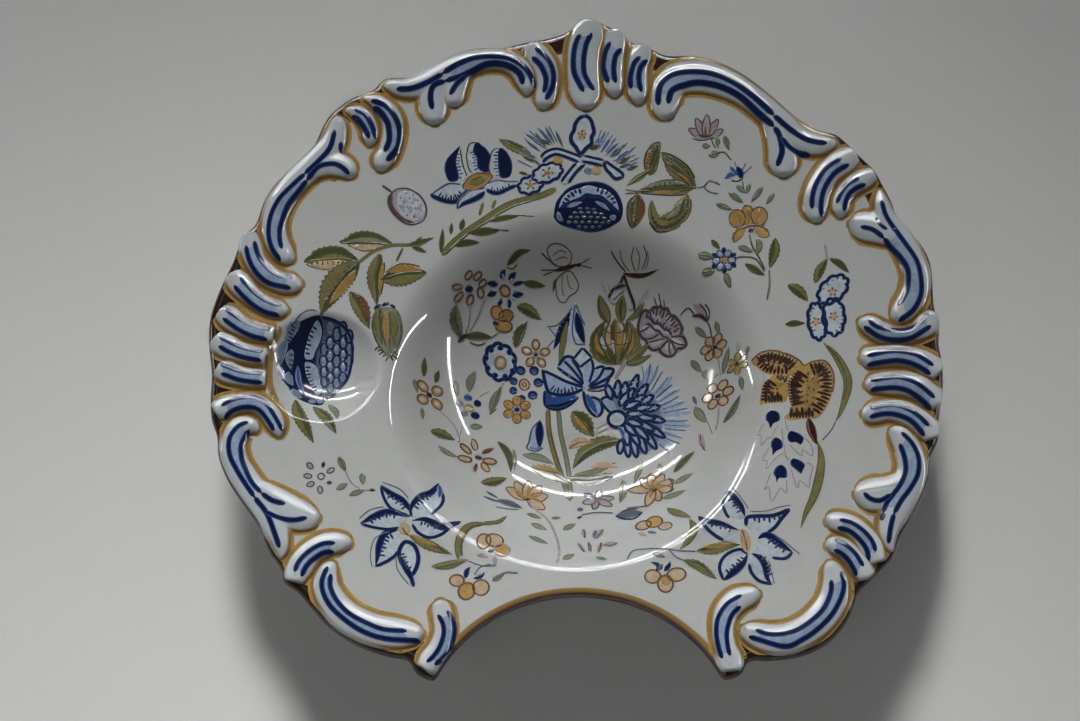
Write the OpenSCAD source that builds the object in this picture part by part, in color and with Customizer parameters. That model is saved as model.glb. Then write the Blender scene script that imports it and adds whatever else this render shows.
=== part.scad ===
// Barber's bowl of tin-glazed earthenware, in millimetres.
// A dish with a deep well and a broad flange stands on a foot ring.
// The flange has a notch for the neck, a hollow for the soap ball and a border of relief mouldings.
// Origin: on the well's axis, in the plane the foot ring stands on. +Z is up, the neck notch faces -Y.

// The sizes in plan are given for a rim as wide as drawn_w, and follow the rim's width.

/* [Dish] */
// Width of the rim from side to side
rim_w = 340; // [300:1:380]
// Radius of the well where it meets the flange
well_r = 84; // [76:1:86]
// Depth of the well below the flange
well_depth = 40; // [30:1:60]
// Thickness of the clay
wall = 8; // [5:0.5:10]
// How far the flange rises from the well to the side of the rim
flange_rise = 8; // [0:0.5:16]
// How softly the well turns over into the flange
lip_soft = 12; // [4:1:20]

/* [Foot ring] */
// Outer radius of the foot ring
foot_r = 50; // [40:1:60]
// Width of the foot ring's wall
foot_w = 6; // [4:0.5:10]
// Height of the floor's underside above the table
foot_h = 7; // [4:0.5:14]

/* [Neck notch] */
// Radius of the neck notch
neck_r = 70; // [60:1:80]
// Distance from the well's axis to the notch
neck_reach = 102; // [96:1:112]
// Sideways place of the notch
neck_x = 1; // [-6:1:6]

/* [Soap hollow] */
// Radius of the soap hollow at the flange
soap_r = 27; // [20:1:30]
// Depth of the soap hollow
soap_depth = 11; // [6:0.5:16]
// Distance of the soap hollow from the well's axis, towards -X
soap_reach = 115; // [108:1:124]
// Place of the soap hollow along Y
soap_y = 8; // [-4:1:20]

/* [Relief border] */
// Height of the relief mouldings above the flange
relief_h = 5; // [3:0.5:8]
// Layer of slip between a moulding and the flange
slip = 0.1; // [0.05:0.05:0.3]
// Bare land between a moulding and a cut edge of the flange
cut_land = 1; // [0.5:0.5:3]

/* [Hidden] */
$fn = 96;
// Width of the rim that the plan is drawn for
drawn_w = 340;
// Steps along each stretch of a moulding and of the rim's outline
strand_steps = 3;
rim_steps = 2;
// Facets over the back of a moulding, and the power that rounds its shoulders
strand_sides = 6;
shoulder = 0.8;
// Least half width of a moulding's tip, and the half width from which a moulding has its full height
tip_w = 1.2;
full_w = 4;
// Power that shapes the well, flat in the middle and steep at the edge
well_power = 3;
// Stretches of the turned profile across the well and its lip
profile_steps = 28;
// How far the turned blank and the cutters reach past the work
overrun = 40;

// The plan follows the rim's width
plan_scale = rim_w / drawn_w;
mouth_r = well_r * plan_scale;
hollow_r = soap_r * plan_scale;
notch_r = neck_r * plan_scale;
floor_z = foot_h + wall;
flange_z = floor_z + well_depth;
flange_slope = flange_rise / (rim_w / 2 - mouth_r);
foot_in = foot_r - foot_w;
lip_r = mouth_r + lip_soft;
blank_r = rim_w / 2 + overrun;
soap_at = [-soap_reach, soap_y] * plan_scale;
neck_at = [neck_x, -neck_reach - neck_r] * plan_scale;
// The soap hollow is a cap of a ball
soap_rim_z = flange_top(norm(soap_at));
soap_ball_r = (hollow_r * hollow_r + soap_depth * soap_depth) / (2 * soap_depth);
soap_ball_z = soap_rim_z - soap_depth + soap_ball_r;

// Outline of the rim in plan: one point at each swell and one at each dip
RIM = [
    [66, -142], [73, -139], [76, -133], [86, -133], [100, -131], [112, -125], [121, -114], [126, -102],
    [131, -97], [137, -91], [142, -86], [146, -76], [154, -62], [160, -49], [162, -37], [166, -29],
    [167, -18], [169, -8], [170, 0], [170, 10], [169, 19], [170, 28], [168, 37], [168, 52],
    [167, 62], [162, 72], [154, 82], [151, 92], [147, 101], [144, 108], [138, 115], [132, 122],
    [126, 128], [118, 130], [108, 137], [97, 148], [85, 159], [72, 167], [58, 171], [46, 171],
    [38, 175], [31, 177], [26, 180], [21, 185], [15, 188], [9, 191], [2, 188], [-5, 183],
    [-15, 180], [-25, 178], [-36, 175], [-48, 175], [-60, 170], [-72, 162], [-82, 159], [-92, 158],
    [-97, 152], [-108, 147], [-117, 139], [-121, 132], [-125, 122], [-134, 111], [-143, 101], [-148, 91],
    [-151, 80], [-157, 73], [-161, 60], [-166, 47], [-170, 32], [-170, 18], [-168, 4], [-168, -8],
    [-167, -19], [-164, -27], [-163, -37], [-158, -49], [-150, -61], [-143, -71], [-138, -83], [-132, -91],
    [-131, -97], [-124, -102], [-119, -108], [-110, -118], [-98, -126], [-84, -131], [-74, -133], [-71, -139],
    [-62, -143], [0, -141]
];

// Mouldings of the border: name, then points from tip to tip.
// A point is [x, y, half width].
// Where a fork swells out, it is [x, y, half width on the left, half width on the right].
RELIEF = [
    ["top_shell_lobe_1", [
        [-22, 177, 3], [-18, 171, 6], [-13.5, 163, 6], [-12.5, 154, 5.4], [-14, 147, 5],
        [-16, 142, 1]]],
    ["top_shell_lobe_2", [
        [9, 189, 2], [7, 184, 6], [4, 175, 7.4], [3, 165, 7.4], [3.5, 155, 7.4], [5, 148, 6.8],
        [6, 142, 1]]],
    ["top_shell_lobe_3", [
        [18, 183, 2], [19, 178, 4.8], [18.5, 170, 5.8], [17.5, 161, 5.4], [18.5, 154, 4.8],
        [19.5, 148, 1]]],
    ["top_shell_lobe_4", [
        [34, 175, 2], [32.5, 171, 4.8], [31, 165, 5.8], [30, 157, 5.6], [30.5, 150, 5],
        [31.5, 144, 1]]],
    ["scroll_top_right", [
        [44, 136, 1], [44, 141, 6.6, 6.4], [44.5, 149, 7.4, 6], [50, 157, 8.2, 7],
        [60, 158.6, 8.8], [70, 156.2, 8], [81, 150.2, 6.6], [91, 141.8, 6.2], [99, 133, 6.4, 8.5],
        [103.5, 128.3, 6.4, 18.5], [108, 124.6, 6.4, 21], [112, 122.4, 6.2, 15],
        [116, 121.4, 5.6, 6], [121, 121.4, 3.8, 4], [126, 122.6, 1]]],
    ["fan_upper_right_1", [
        [134, 116, 2], [129, 112.5, 5.8], [121.5, 106.5, 6.2], [116.5, 98, 6.2], [114.5, 89, 6.2],
        [115.5, 81, 1]]],
    ["fan_upper_right_2", [
        [143, 105, 2], [138, 102.5, 4.4], [131.5, 98.5, 4.8], [127.5, 93, 4.6], [126.5, 88, 4.4],
        [126, 83, 1]]],
    ["scroll_right_upper", [
        [145, 97, 1], [145.4, 91, 3.4, 4], [146, 86.5, 4.2, 10], [147.2, 82.3, 5, 16.5],
        [149, 78, 5.4, 17], [151.2, 74.2, 5.8, 12.5], [154, 69.5, 6, 7.4], [157.2, 63, 6],
        [160, 53, 6.2], [158.8, 43.5, 6.4, 6], [154.5, 36, 5.8], [149, 30.5, 1]]],
    ["right_shell_lobe_1", [
        [132.5, 31, 1], [137, 28, 4.8], [143, 23.8, 5.2], [150, 21.8, 3.8], [158, 23, 4.2],
        [164, 27.5, 5], [168, 32, 2]]],
    ["right_shell_lobe_2", [
        [132, 10.5, 1], [136, 11.4, 5.2], [143, 12, 5.2], [150, 12, 5.2], [158, 10, 5.4],
        [164, 6, 5], [168, 2.5, 2]]],
    ["right_shell_lobe_3", [
        [133.5, -2, 1], [138, -1.6, 4.8], [145, -1.4, 6], [152, -2, 6.2], [159, -5, 6],
        [164, -9.5, 4.8], [167, -13, 2]]],
    ["right_shell_lobe_4", [
        [131.5, -16, 1], [136, -16.2, 5.2], [143, -15, 5.2], [150, -16.2, 5.6], [157, -20.5, 5.6],
        [161.5, -26, 4.8], [163, -30, 2]]],
    ["scroll_right_lower", [
        [144, -23.5, 1], [147, -28, 4.2], [150.5, -35, 5.8], [152.6, -42, 6.8], [152, -47, 6.8, 9],
        [150.5, -51, 6.6, 13.5], [148.5, -55, 6.4, 20], [146, -59.5, 6.2, 22],
        [143.5, -64.5, 5.8, 18], [142, -68, 5.2, 12], [140.8, -71.5, 4.6, 6], [140.4, -78, 3.2],
        [141, -84, 1]]],
    ["fan_lower_right_1", [
        [112.5, -69, 1], [117, -68.8, 4.8], [123, -70.6, 5.2], [128, -74.8, 5.2], [132, -81, 4.8],
        [135, -89, 2]]],
    ["fan_lower_right_2", [
        [112, -80.5, 1], [116, -80.3, 4.4], [120.5, -82.3, 4.6], [125, -87.5, 4.6], [128, -93, 4],
        [129, -97, 1.5]]],
    ["scroll_bottom_right", [
        [113.5, -87.5, 1], [114.5, -92, 4.4], [115.5, -99.5, 6.2], [112.5, -109, 6.8],
        [105, -117.5, 7], [95, -123, 7], [86, -123.8, 6.8], [78.5, -121.5, 5.6], [73, -118.5, 1]]],
    ["horn_lobe_right", [
        [82, -102.5, 1], [77.5, -103.5, 4.6], [71, -106, 5.8], [65.5, -112, 6.2],
        [63.5, -120, 6.2], [64, -128, 6.6], [66, -134, 6.2], [66.5, -140, 1.5]]],
    ["horn_lobe_left", [
        [-61, -105, 1], [-60, -109.5, 4.6], [-58.5, -115, 5.2], [-58, -121, 5.2], [-60, -128, 5.6],
        [-63.5, -134, 5.4], [-67, -138, 1.5]]],
    ["scroll_bottom_left", [
        [-108.5, -88, 1], [-111, -93, 4.6], [-111.5, -100, 6], [-107.5, -107.5, 6.6],
        [-101, -114, 7], [-91, -119, 7.2], [-81, -121, 7.2], [-73.5, -121.5, 5.8],
        [-67.5, -121.5, 1]]],
    ["fan_lower_left", [
        [-101, -80, 1], [-105, -78.8, 4.4], [-112, -79.5, 5.6], [-119, -84, 5.6],
        [-123.5, -91, 5.2], [-125.5, -98, 1.5]]],
    ["scroll_left_lower", [
        [-145, -27, 1], [-147.5, -23.5, 3.6, 4.2], [-153, -24.5, 3.6, 5.4], [-156, -31, 5.6],
        [-154.2, -41, 5.8], [-150.5, -48, 6.6, 6.2], [-146.5, -54, 7, 6.4],
        [-142.5, -59.5, 11.5, 6.4], [-139.5, -64.5, 15.5, 6], [-137.5, -68, 18.5, 5.6],
        [-135.8, -71.5, 21.5, 5], [-134.5, -75, 18, 4.6], [-133.3, -78.5, 10, 4],
        [-132.6, -82, 4, 3.4], [-132, -87, 1]]],
    ["left_shell_lobe_1", [
        [-165, -17, 2], [-161, -14.5, 4.8], [-155, -12, 4.8], [-148, -11.4, 4.6],
        [-141.5, -14.8, 4.8], [-137.5, -21, 4.6], [-135, -28, 1]]],
    ["left_shell_lobe_2", [
        [-165, 5.5, 2], [-161, 3.6, 4.8], [-155, 1.6, 5], [-147, 0.6, 5], [-139, 0.8, 4.8]]],
    ["left_shell_lobe_3", [
        [-167, 20, 2], [-162.5, 17, 5.2], [-156, 14, 5.2], [-148, 12, 5], [-138, 11.6, 4.4]]],
    ["left_shell_lobe_4", [
        [-165, 34, 2], [-161, 31, 5], [-155.5, 27, 5.2], [-148, 24, 5.2], [-138, 23, 4]]],
    ["left_shell_lobe_5", [
        [-160.5, 53, 2], [-157, 48.5, 5], [-151, 42, 5], [-144.5, 37.6, 4.8], [-138.5, 35.8, 4.4],
        [-133.5, 35.5, 1]]],
    ["left_shell_lobe_6", [
        [-153.5, 74, 2], [-152.5, 68, 4.6], [-149.5, 59.5, 5.2], [-143.5, 52.5, 5.4],
        [-137, 49.5, 5.4], [-132, 49, 4.8], [-127.5, 49.5, 1]]],
    ["scroll_left_upper", [
        [-132, 60.5, 1], [-136.5, 64.5, 4.6], [-140.5, 71.5, 5.4], [-141.8, 80, 6],
        [-139, 91, 6.2], [-136, 96.5, 6.2], [-132.5, 101, 6.2], [-128.5, 105.5, 6.2, 7],
        [-124.5, 110, 6.2, 10], [-121, 114.5, 6, 18], [-118.5, 118, 5.6, 16.5],
        [-116.8, 121, 5.4, 12], [-115.5, 124.5, 5.2, 8], [-114, 130, 4.6, 5.4], [-114, 135.5, 1]]],
    ["fan_upper_left_1", [
        [-110, 139, 1], [-106, 138.8, 3.2], [-101, 135.8, 4.2], [-98, 130, 4.2], [-97.6, 125, 3.8],
        [-98, 121, 1]]],
    ["fan_upper_left_2", [
        [-102, 146, 1], [-97, 145, 3], [-91.5, 141.5, 4.6], [-87.5, 135, 5.4], [-86.8, 127, 5.4],
        [-89, 118, 5.2], [-91.5, 113, 4.8], [-92.5, 108, 1]]],
    ["scroll_top_left", [
        [-92.5, 153.5, 1], [-88, 152.8, 3.2], [-82, 152, 5, 5.2], [-79, 152, 5.2, 8],
        [-76.5, 152.4, 5.4, 17], [-73.5, 153.4, 5.6, 20.5], [-70.5, 154.8, 6, 18.5],
        [-68, 156, 6.2, 13.5], [-66.2, 157, 6.4, 11.5], [-64.2, 158.2, 6.6, 15.5],
        [-61.5, 159.8, 6.8, 16], [-58.5, 161.5, 6.8, 13], [-55, 163.4, 6.6, 8.6],
        [-50, 165.7, 6.2], [-42, 167.6, 5.8], [-33, 167, 5.6], [-27, 163, 5.4, 4.8],
        [-23.5, 156, 4.8], [-23, 149.5, 1]]]
];

// Top of the flange at radius r, a shallow cone
function flange_top(r) = flange_z + flange_slope * (r - mouth_r);
// Inside of the well at radius r
function well_top(r) = floor_z + well_depth * pow(r / mouth_r, well_power);
// The lower of two heights, with a soft turn between them
function soft_low(a, b, soft) =
    let (mix = min(1, max(0, 0.5 + (b - a) / (2 * soft))))
    a * mix + b * (1 - mix) - soft * mix * (1 - mix);
function dish_top(r) = r > lip_r ? flange_top(r) : soft_low(well_top(r), flange_top(r), lip_soft);
// Underside of the dish: the same form, one wall thickness outside
function well_under(r) = foot_h + well_depth * pow(r / (mouth_r + wall), well_power);
function dish_under(r) =
    r > lip_r + wall ? flange_top(r) - wall : soft_low(well_under(r), flange_top(r) - wall, lip_soft);

// Smooth curve through four neighbouring points, at share t of the middle stretch
function curve_at(a, b, c, d, t) =
    b + (c - a) * t / 2 + (2 * a - 5 * b + 4 * c - d) * t * t / 2 + (3 * b - a - 3 * c + d) * t * t * t / 2;
function smooth_loop(p) = let (n = len(p))
    [for (i = [0 : n - 1], k = [0 : rim_steps - 1])
        curve_at(p[(i + n - 1) % n], p[i], p[(i + 1) % n], p[(i + 2) % n], k / rim_steps)];
function smooth_run(p) = let (n = len(p) - 1) concat(
    [for (i = [0 : n - 1], k = [0 : strand_steps - 1])
        curve_at(p[max(0, i - 1)], p[i], p[i + 1], p[min(n, i + 2)], k / strand_steps)], [p[n]]);

// A moulding's points at the rim's size, with its widths squared so that its tips come out round
function strand_run(points) =
    smooth_run([for (p = points)
        let (q = p * plan_scale)
        [q[0], q[1], pow(q[2], 2), pow(q[len(q) - 1], 2)]]);
// One cross section of a moulding: a low dome that stands on the flange
function strand_ring(run, i) =
    let (ahead = run[min(i + 1, len(run) - 1)],
         behind = run[max(i - 1, 0)],
         step = [ahead[0] - behind[0], ahead[1] - behind[1]],
         left = [-step[1], step[0]] / norm(step),
         half_left = sqrt(max(run[i][2], tip_w * tip_w)),
         half_right = sqrt(max(run[i][3], tip_w * tip_w)),
         rise = relief_h * min(1, (half_left + half_right) / (2 * full_w * plan_scale)))
    [for (j = [0 : strand_sides])
        let (turn = 180 * j / strand_sides,
             across = (half_left - half_right) / 2 + (half_left + half_right) / 2 * cos(turn),
             x = run[i][0] + left[0] * across,
             y = run[i][1] + left[1] * across)
        [x, y, flange_top(norm([x, y])) + slip + rise * pow(sin(turn), shoulder)]];
function touches(points, at, r) =
    len([for (p = points) if (norm([p[0], p[1]] * plan_scale - at) < r + 2 * p[2] * plan_scale) 1]) > 0;

module strand_solid(points) {
    run = strand_run(points);
    side = strand_sides + 1;
    last = len(run) - 1;
    corners = [for (i = [0 : last]) each strand_ring(run, i)];
    skin = [for (i = [0 : last - 1], j = [0 : side - 1])
        let (a = i * side + j, b = i * side + (j + 1) % side)
        each [[a, b + side, b], [a, a + side, b + side]]];
    near_cap = [for (j = [0 : side - 1]) j];
    far_cap = [for (j = [side - 1 : -1 : 0]) last * side + j];
    polyhedron(corners, concat(skin, [near_cap, far_cap]));
}

// Upright cutters of the neck notch and the soap hollow, with the bare land beside them
module neck_cutter(land) {
    translate([neck_at[0], neck_at[1], -overrun])
        cylinder(r = notch_r + land, h = flange_z + 3 * overrun);
}

module soap_cutter(land) {
    translate([soap_at[0], soap_at[1], 0])
        cylinder(r = hollow_r + land, h = flange_z + 2 * overrun);
}

module soap_ball(extra) {
    translate([soap_at[0], soap_at[1], soap_ball_z])
        sphere(r = soap_ball_r + extra);
}

// Half section of the dish, turned about the axis
module dish_section() {
    top = [for (i = [0 : profile_steps]) let (r = lip_r * i / profile_steps) [r, dish_top(r)]];
    under_in = [for (i = [0 : profile_steps]) let (r = (lip_r + wall) * i / profile_steps)
        if (r < foot_in) [r, dish_under(r)]];
    under_out = [for (i = [0 : profile_steps]) let (r = (lip_r + wall) * i / profile_steps)
        if (r > foot_r) [r, dish_under(r)]];
    under = concat(under_in, [[foot_in, dish_under(foot_in)], [foot_r, dish_under(foot_r)]], under_out,
        [[blank_r, dish_under(blank_r)]]);
    edge = [[blank_r, dish_top(blank_r)]];
    polygon(concat(under, edge, [for (i = [len(top) - 1 : -1 : 0]) top[i]]));
}

module dish_body() {
    color("whitesmoke")
        difference() {
            union() {
                intersection() {
                    rotate_extrude() dish_section();
                    linear_extrude(height = flange_z + 2 * overrun)
                        polygon(smooth_loop(RIM * plan_scale));
                }
                // Boss under the soap hollow
                intersection() {
                    soap_ball(wall);
                    translate([soap_at[0], soap_at[1], 0])
                        cylinder(r = hollow_r + wall, h = soap_rim_z - wall / 2);
                }
            }
            soap_ball(0);
            neck_cutter(0);
        }
}

module foot_ring() {
    color("gainsboro")
        rotate_extrude()
            polygon([[foot_in, 0], [foot_r, 0],
                [foot_r, dish_under(foot_r)], [foot_in, dish_under(foot_in)]]);
}

// One moulding of the border, pared back where the notch or the soap hollow comes close
module moulding(points) {
    color("aliceblue")
        difference() {
            strand_solid(points);
            if (touches(points, neck_at, notch_r)) neck_cutter(cut_land);
            if (touches(points, soap_at, hollow_r)) soap_cutter(cut_land);
        }
}

dish_body();
foot_ring();
for (piece = RELIEF)
    moulding(piece[1]);
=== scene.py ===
"""Barber's bowl of tin-glazed earthenware, painted in cobalt, ochre, green and manganese.

Plan tables are in millimetres: x to the right, y away from the neck notch.
"""

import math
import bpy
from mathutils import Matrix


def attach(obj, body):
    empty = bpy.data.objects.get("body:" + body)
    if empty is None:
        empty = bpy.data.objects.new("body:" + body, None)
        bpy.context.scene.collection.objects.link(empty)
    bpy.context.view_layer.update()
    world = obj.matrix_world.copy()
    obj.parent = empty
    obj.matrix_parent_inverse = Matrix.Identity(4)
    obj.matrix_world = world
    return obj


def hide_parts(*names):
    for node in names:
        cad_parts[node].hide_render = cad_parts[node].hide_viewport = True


bl_info = {
    "name": "Barber's Bowl",
    "version": (1, 0, 0),
    "blender": (4, 5, 0),
    "location": "3D View > Sidebar > Bowl",
    "description": "Models a painted faience barber's bowl on its frame",
    "category": "Add Mesh",
}

import bmesh
import bpy
import numpy as np
from bpy.props import FloatProperty, FloatVectorProperty, IntProperty, PointerProperty
from bpy.types import Operator, Panel, PropertyGroup
from mathutils import Matrix, Vector
from mathutils.bvhtree import BVHTree

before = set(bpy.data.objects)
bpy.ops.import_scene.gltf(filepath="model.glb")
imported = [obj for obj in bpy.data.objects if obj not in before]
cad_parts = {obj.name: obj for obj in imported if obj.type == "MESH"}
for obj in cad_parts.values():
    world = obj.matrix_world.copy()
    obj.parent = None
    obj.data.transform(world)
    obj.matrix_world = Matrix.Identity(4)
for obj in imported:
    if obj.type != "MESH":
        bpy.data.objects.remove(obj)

MM = 0.001

# Outline of the rim in plan, from the right horn round to the left horn
RIM = (
    (64.6, -142.3), (66, -142), (73, -139), (76, -133), (86, -133), (100, -131), (112, -125), (121, -114),
    (126, -102), (131, -97), (137, -91), (142, -86), (146, -76), (154, -62), (160, -49), (162, -37),
    (166, -29), (167, -18), (169, -8), (170, 0), (170, 10), (169, 19), (170, 28), (168, 37),
    (168, 52), (167, 62), (162, 72), (154, 82), (151, 92), (147, 101), (144, 108), (138, 115),
    (132, 122), (126, 128), (118, 130), (108, 137), (97, 148), (85, 159), (72, 167), (58, 171),
    (46, 171), (38, 175), (31, 177), (26, 180), (21, 185), (15, 188), (9, 191), (2, 188),
    (-5, 183), (-15, 180), (-25, 178), (-36, 175), (-48, 175), (-60, 170), (-72, 162), (-82, 159),
    (-92, 158), (-97, 152), (-108, 147), (-117, 139), (-121, 132), (-125, 122), (-134, 111), (-143, 101),
    (-148, 91), (-151, 80), (-157, 73), (-161, 60), (-166, 47), (-170, 32), (-170, 18), (-168, 4),
    (-168, -8), (-167, -19), (-164, -27), (-163, -37), (-158, -49), (-150, -61), (-143, -71), (-138, -83),
    (-132, -91), (-131, -97), (-124, -102), (-119, -108), (-110, -118), (-98, -126), (-84, -131), (-74, -133),
    (-71, -139), (-62.4, -142.8),
)

# Relief mouldings: the node, then its strands from tip to tip as (x, y, half width).
# A tip of 1 is round, one of 2 spreads to the rim and one of 1.5 is cut off.
# A wider tip is the root of a fork.
MOULDINGS = {
    "top_shell_lobe_1": (
        ((-21, 176, 3), (-18, 171, 6), (-13.5, 163, 6), (-12.5, 154, 5.4), (-14, 147, 5), (-16, 142, 1)),
    ),
    "top_shell_lobe_2": (
        ((8.6, 188, 2), (7.4, 183, 7), (5.2, 174, 8), (4.7, 165, 8), (5, 156, 8), (5.8, 149, 7.4),
         (6.5, 141.5, 1)),
    ),
    "top_shell_lobe_3": (
        ((20, 183, 2), (20.4, 178, 4.8), (19.8, 170, 5.2), (19.2, 161, 5.2), (19.6, 154, 4.8),
         (20, 148, 1)),
    ),
    "top_shell_lobe_4": (
        ((34.6, 174.5, 2), (33, 170.5, 4.8), (31.6, 165, 5.2), (31, 157, 5.2), (31.2, 150, 4.8),
         (31.7, 144, 1)),
    ),
    "scroll_top_right": (
        ((47, 137, 1), (44.5, 142, 6.6), (45, 150, 7.6), (50, 157, 8.4), (60, 158.5, 8.6), (70, 156, 8),
         (81, 150, 6.8), (91, 141.5, 6.4), (100, 132, 6.6), (108, 124, 6.6), (117, 121, 5.6),
         (126, 122, 1)),
        ((94, 136, 4), (98, 127, 6.2), (99, 119, 6.4), (100, 112, 7.2), (100, 105, 1)),
    ),
    "fan_upper_right_1": (
        ((134, 116, 2), (129, 112.5, 5.8), (121.5, 106.5, 6.2), (116.5, 98, 6.2), (114.5, 89, 6.2),
         (115.5, 81, 1)),
    ),
    "fan_upper_right_2": (
        ((143, 105, 2), (138, 102.5, 4.4), (131.5, 98.5, 4.8), (127.5, 93, 4.6), (126.5, 88, 4.4),
         (126, 83, 1)),
    ),
    "scroll_right_upper": (
        ((145, 97, 1), (145.5, 90, 3.6), (147, 82, 5), (151.5, 74, 6), (157, 64, 6), (160, 53, 6.2),
         (158.5, 43, 6.4), (153.5, 35, 6), (148, 30, 1)),
        ((150, 72, 5), (143, 76, 7), (137, 78.5, 7.6), (130, 80, 1)),
    ),
    "right_shell_lobe_1": (
        ((132.5, 31, 1), (137, 28, 4.8), (143, 23.8, 5.2), (150, 21.8, 3.8), (158, 23, 4.2),
         (164, 27.5, 5), (168, 32, 2)),
    ),
    "right_shell_lobe_2": (
        ((132, 10.5, 1), (136, 11.4, 5.2), (143, 12, 5.2), (150, 12, 5.2), (158, 10, 5.4), (164, 6, 5),
         (168, 2.5, 2)),
    ),
    "right_shell_lobe_3": (
        ((133.5, -2, 1), (138, -1.6, 4.8), (145, -1.4, 6), (152, -2, 6.2), (159, -5, 6), (164, -9.5, 4.8),
         (167, -13, 2)),
    ),
    "right_shell_lobe_4": (
        ((131.5, -16, 1), (136, -16.2, 5.2), (143, -15, 5.2), (150, -16.2, 5.6), (157, -20.5, 5.6),
         (161.5, -26, 4.8), (163, -30, 2)),
    ),
    "scroll_right_lower": (
        ((144.5, -23.5, 1), (148, -28, 5), (151.5, -35, 6.4), (152.5, -43, 6.8), (149.5, -53, 6.8),
         (144.5, -63, 6.4), (140.5, -72, 4.8), (140, -79, 3), (141, -84, 1)),
        ((149, -50, 5), (142, -54.5, 7.4), (135, -56, 8.2), (131, -56, 7), (126, -56, 1)),
    ),
    "fan_lower_right_1": (
        ((112.5, -69, 1), (117, -68.8, 4.8), (123, -70.6, 5.2), (128, -74.8, 5.2), (132, -81, 4.8),
         (135, -89, 2)),
    ),
    "fan_lower_right_2": (
        ((112, -80.5, 1), (116, -80.3, 4.4), (120.5, -82.3, 4.6), (125, -87.5, 4.6), (128, -93, 4),
         (129, -97, 2)),
    ),
    "scroll_bottom_right": (
        ((113.5, -87.5, 1), (114.5, -92, 4.4), (115.5, -99.5, 6.2), (112.5, -109, 6.8), (105, -117.5, 7),
         (95, -123, 7), (86, -123.8, 6.8), (78.5, -121.5, 5.6), (73, -118.5, 1)),
    ),
    "horn_lobe_right": (
        ((82, -102.5, 1), (77.5, -103.5, 4.6), (71, -106, 5.8), (66.2, -112, 5.6), (64.8, -120, 5),
         (65.8, -128, 5), (67.6, -134, 4.8), (68, -139, 2)),
    ),
    "horn_lobe_left": (
        ((-61, -105, 1), (-60, -109.5, 4.6), (-59, -115, 4.8), (-58.8, -121, 4.6), (-61, -128, 4.8),
         (-64.5, -134, 4.6), (-67.5, -138, 2)),
    ),
    "scroll_bottom_left": (
        ((-108.5, -88, 1), (-111, -93, 4.6), (-111.5, -100, 6), (-107.5, -107.5, 6.6), (-101, -114, 7),
         (-91, -119, 7.2), (-81, -121, 7.2), (-73.5, -121.5, 5.8), (-67.5, -121.5, 1)),
    ),
    "fan_lower_left": (
        ((-101, -80, 1), (-105, -78.8, 4.4), (-112, -79.5, 5.6), (-119, -84, 5.6), (-123.5, -91, 5.2),
         (-125.5, -98, 2)),
    ),
    "scroll_left_lower": (
        ((-145, -26, 1), (-148.5, -23, 4), (-153.5, -24.5, 5.6), (-156, -32, 5.8), (-154, -41, 5.8),
         (-149, -50, 6.4), (-142.5, -59, 6.8), (-137, -68, 6.2), (-133.5, -76, 4.8), (-132, -83, 3),
         (-132, -87, 1)),
        ((-143, -54, 5), (-135, -60.5, 7.6), (-127, -65, 8), (-121, -66.8, 6.4), (-115.5, -67, 1)),
    ),
    "left_shell_lobe_1": (
        ((-165, -17, 2), (-161, -14.5, 4.8), (-155, -12, 4.8), (-148, -11.4, 4.6), (-141.5, -14.8, 4.8),
         (-137.5, -21, 4.6), (-135, -28, 1)),
    ),
    "left_shell_lobe_2": (
        ((-165, 5.5, 2), (-161, 3.6, 4.8), (-155, 1.6, 5), (-149, 0.8, 4.8), (-142.4, 0.6, 1.5)),
    ),
    "left_shell_lobe_3": (
        ((-167, 20, 2), (-162.5, 17, 5.2), (-156, 14, 5.2), (-150, 12.4, 4.8), (-142.8, 11.6, 1.5)),
    ),
    "left_shell_lobe_4": (
        ((-165, 34, 2), (-161, 31, 5), (-155.5, 27, 5.2), (-149, 24.4, 4.8), (-139.6, 22.6, 1.5)),
    ),
    "left_shell_lobe_5": (
        ((-160.5, 53, 2), (-157, 48.5, 5), (-151, 42, 5), (-144.5, 37.6, 4.8), (-138.5, 35.8, 4.4),
         (-133.5, 35.5, 1)),
    ),
    "left_shell_lobe_6": (
        ((-153.5, 74, 2), (-152.5, 68, 4.6), (-149.5, 59.5, 5.2), (-143.5, 52.5, 5.4), (-137, 49.5, 5.4),
         (-132, 49, 4.8), (-127.5, 49.5, 1)),
    ),
    "scroll_left_upper": (
        ((-132, 60.5, 1), (-136.5, 64, 5), (-140.5, 71, 5.8), (-141.8, 80, 6), (-139, 91, 6.2),
         (-132.5, 101, 6.2), (-123.5, 111, 6.4), (-116.5, 120, 6.2), (-113.5, 129, 5), (-114, 136, 1)),
        ((-126, 106, 4), (-118, 110.5, 5.8), (-110.5, 110, 6), (-104.5, 105, 1)),
    ),
    "fan_upper_left_1": (
        ((-110, 139, 1), (-106, 138.8, 3.2), (-101, 135.8, 4.2), (-98, 130, 4.2), (-97.6, 125, 3.8),
         (-98, 121, 1)),
    ),
    "fan_upper_left_2": (
        ((-102, 146, 1), (-97, 145, 3), (-91.5, 141.5, 4.6), (-87.5, 135, 5.4), (-86.8, 127, 5.4),
         (-89, 118, 5.2), (-91.5, 113, 4.8), (-92.5, 108, 1)),
    ),
    "scroll_top_left": (
        ((-92, 153.5, 1), (-88, 152.5, 3.4), (-81, 151.5, 5.2), (-72, 154, 6.2), (-62, 159.5, 7),
         (-52, 165, 6.6), (-42, 167.5, 5.8), (-33, 167, 5.6), (-26.5, 163, 5.6), (-23, 156, 5),
         (-22.5, 149, 1)),
        ((-65, 158, 5), (-68, 148, 6.4), (-67.5, 140, 6.6), (-66.5, 133, 1)),
        ((-54, 162, 5), (-57, 152, 5.4), (-57.5, 147, 5), (-57.5, 142.5, 1)),
    ),
}

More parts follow.
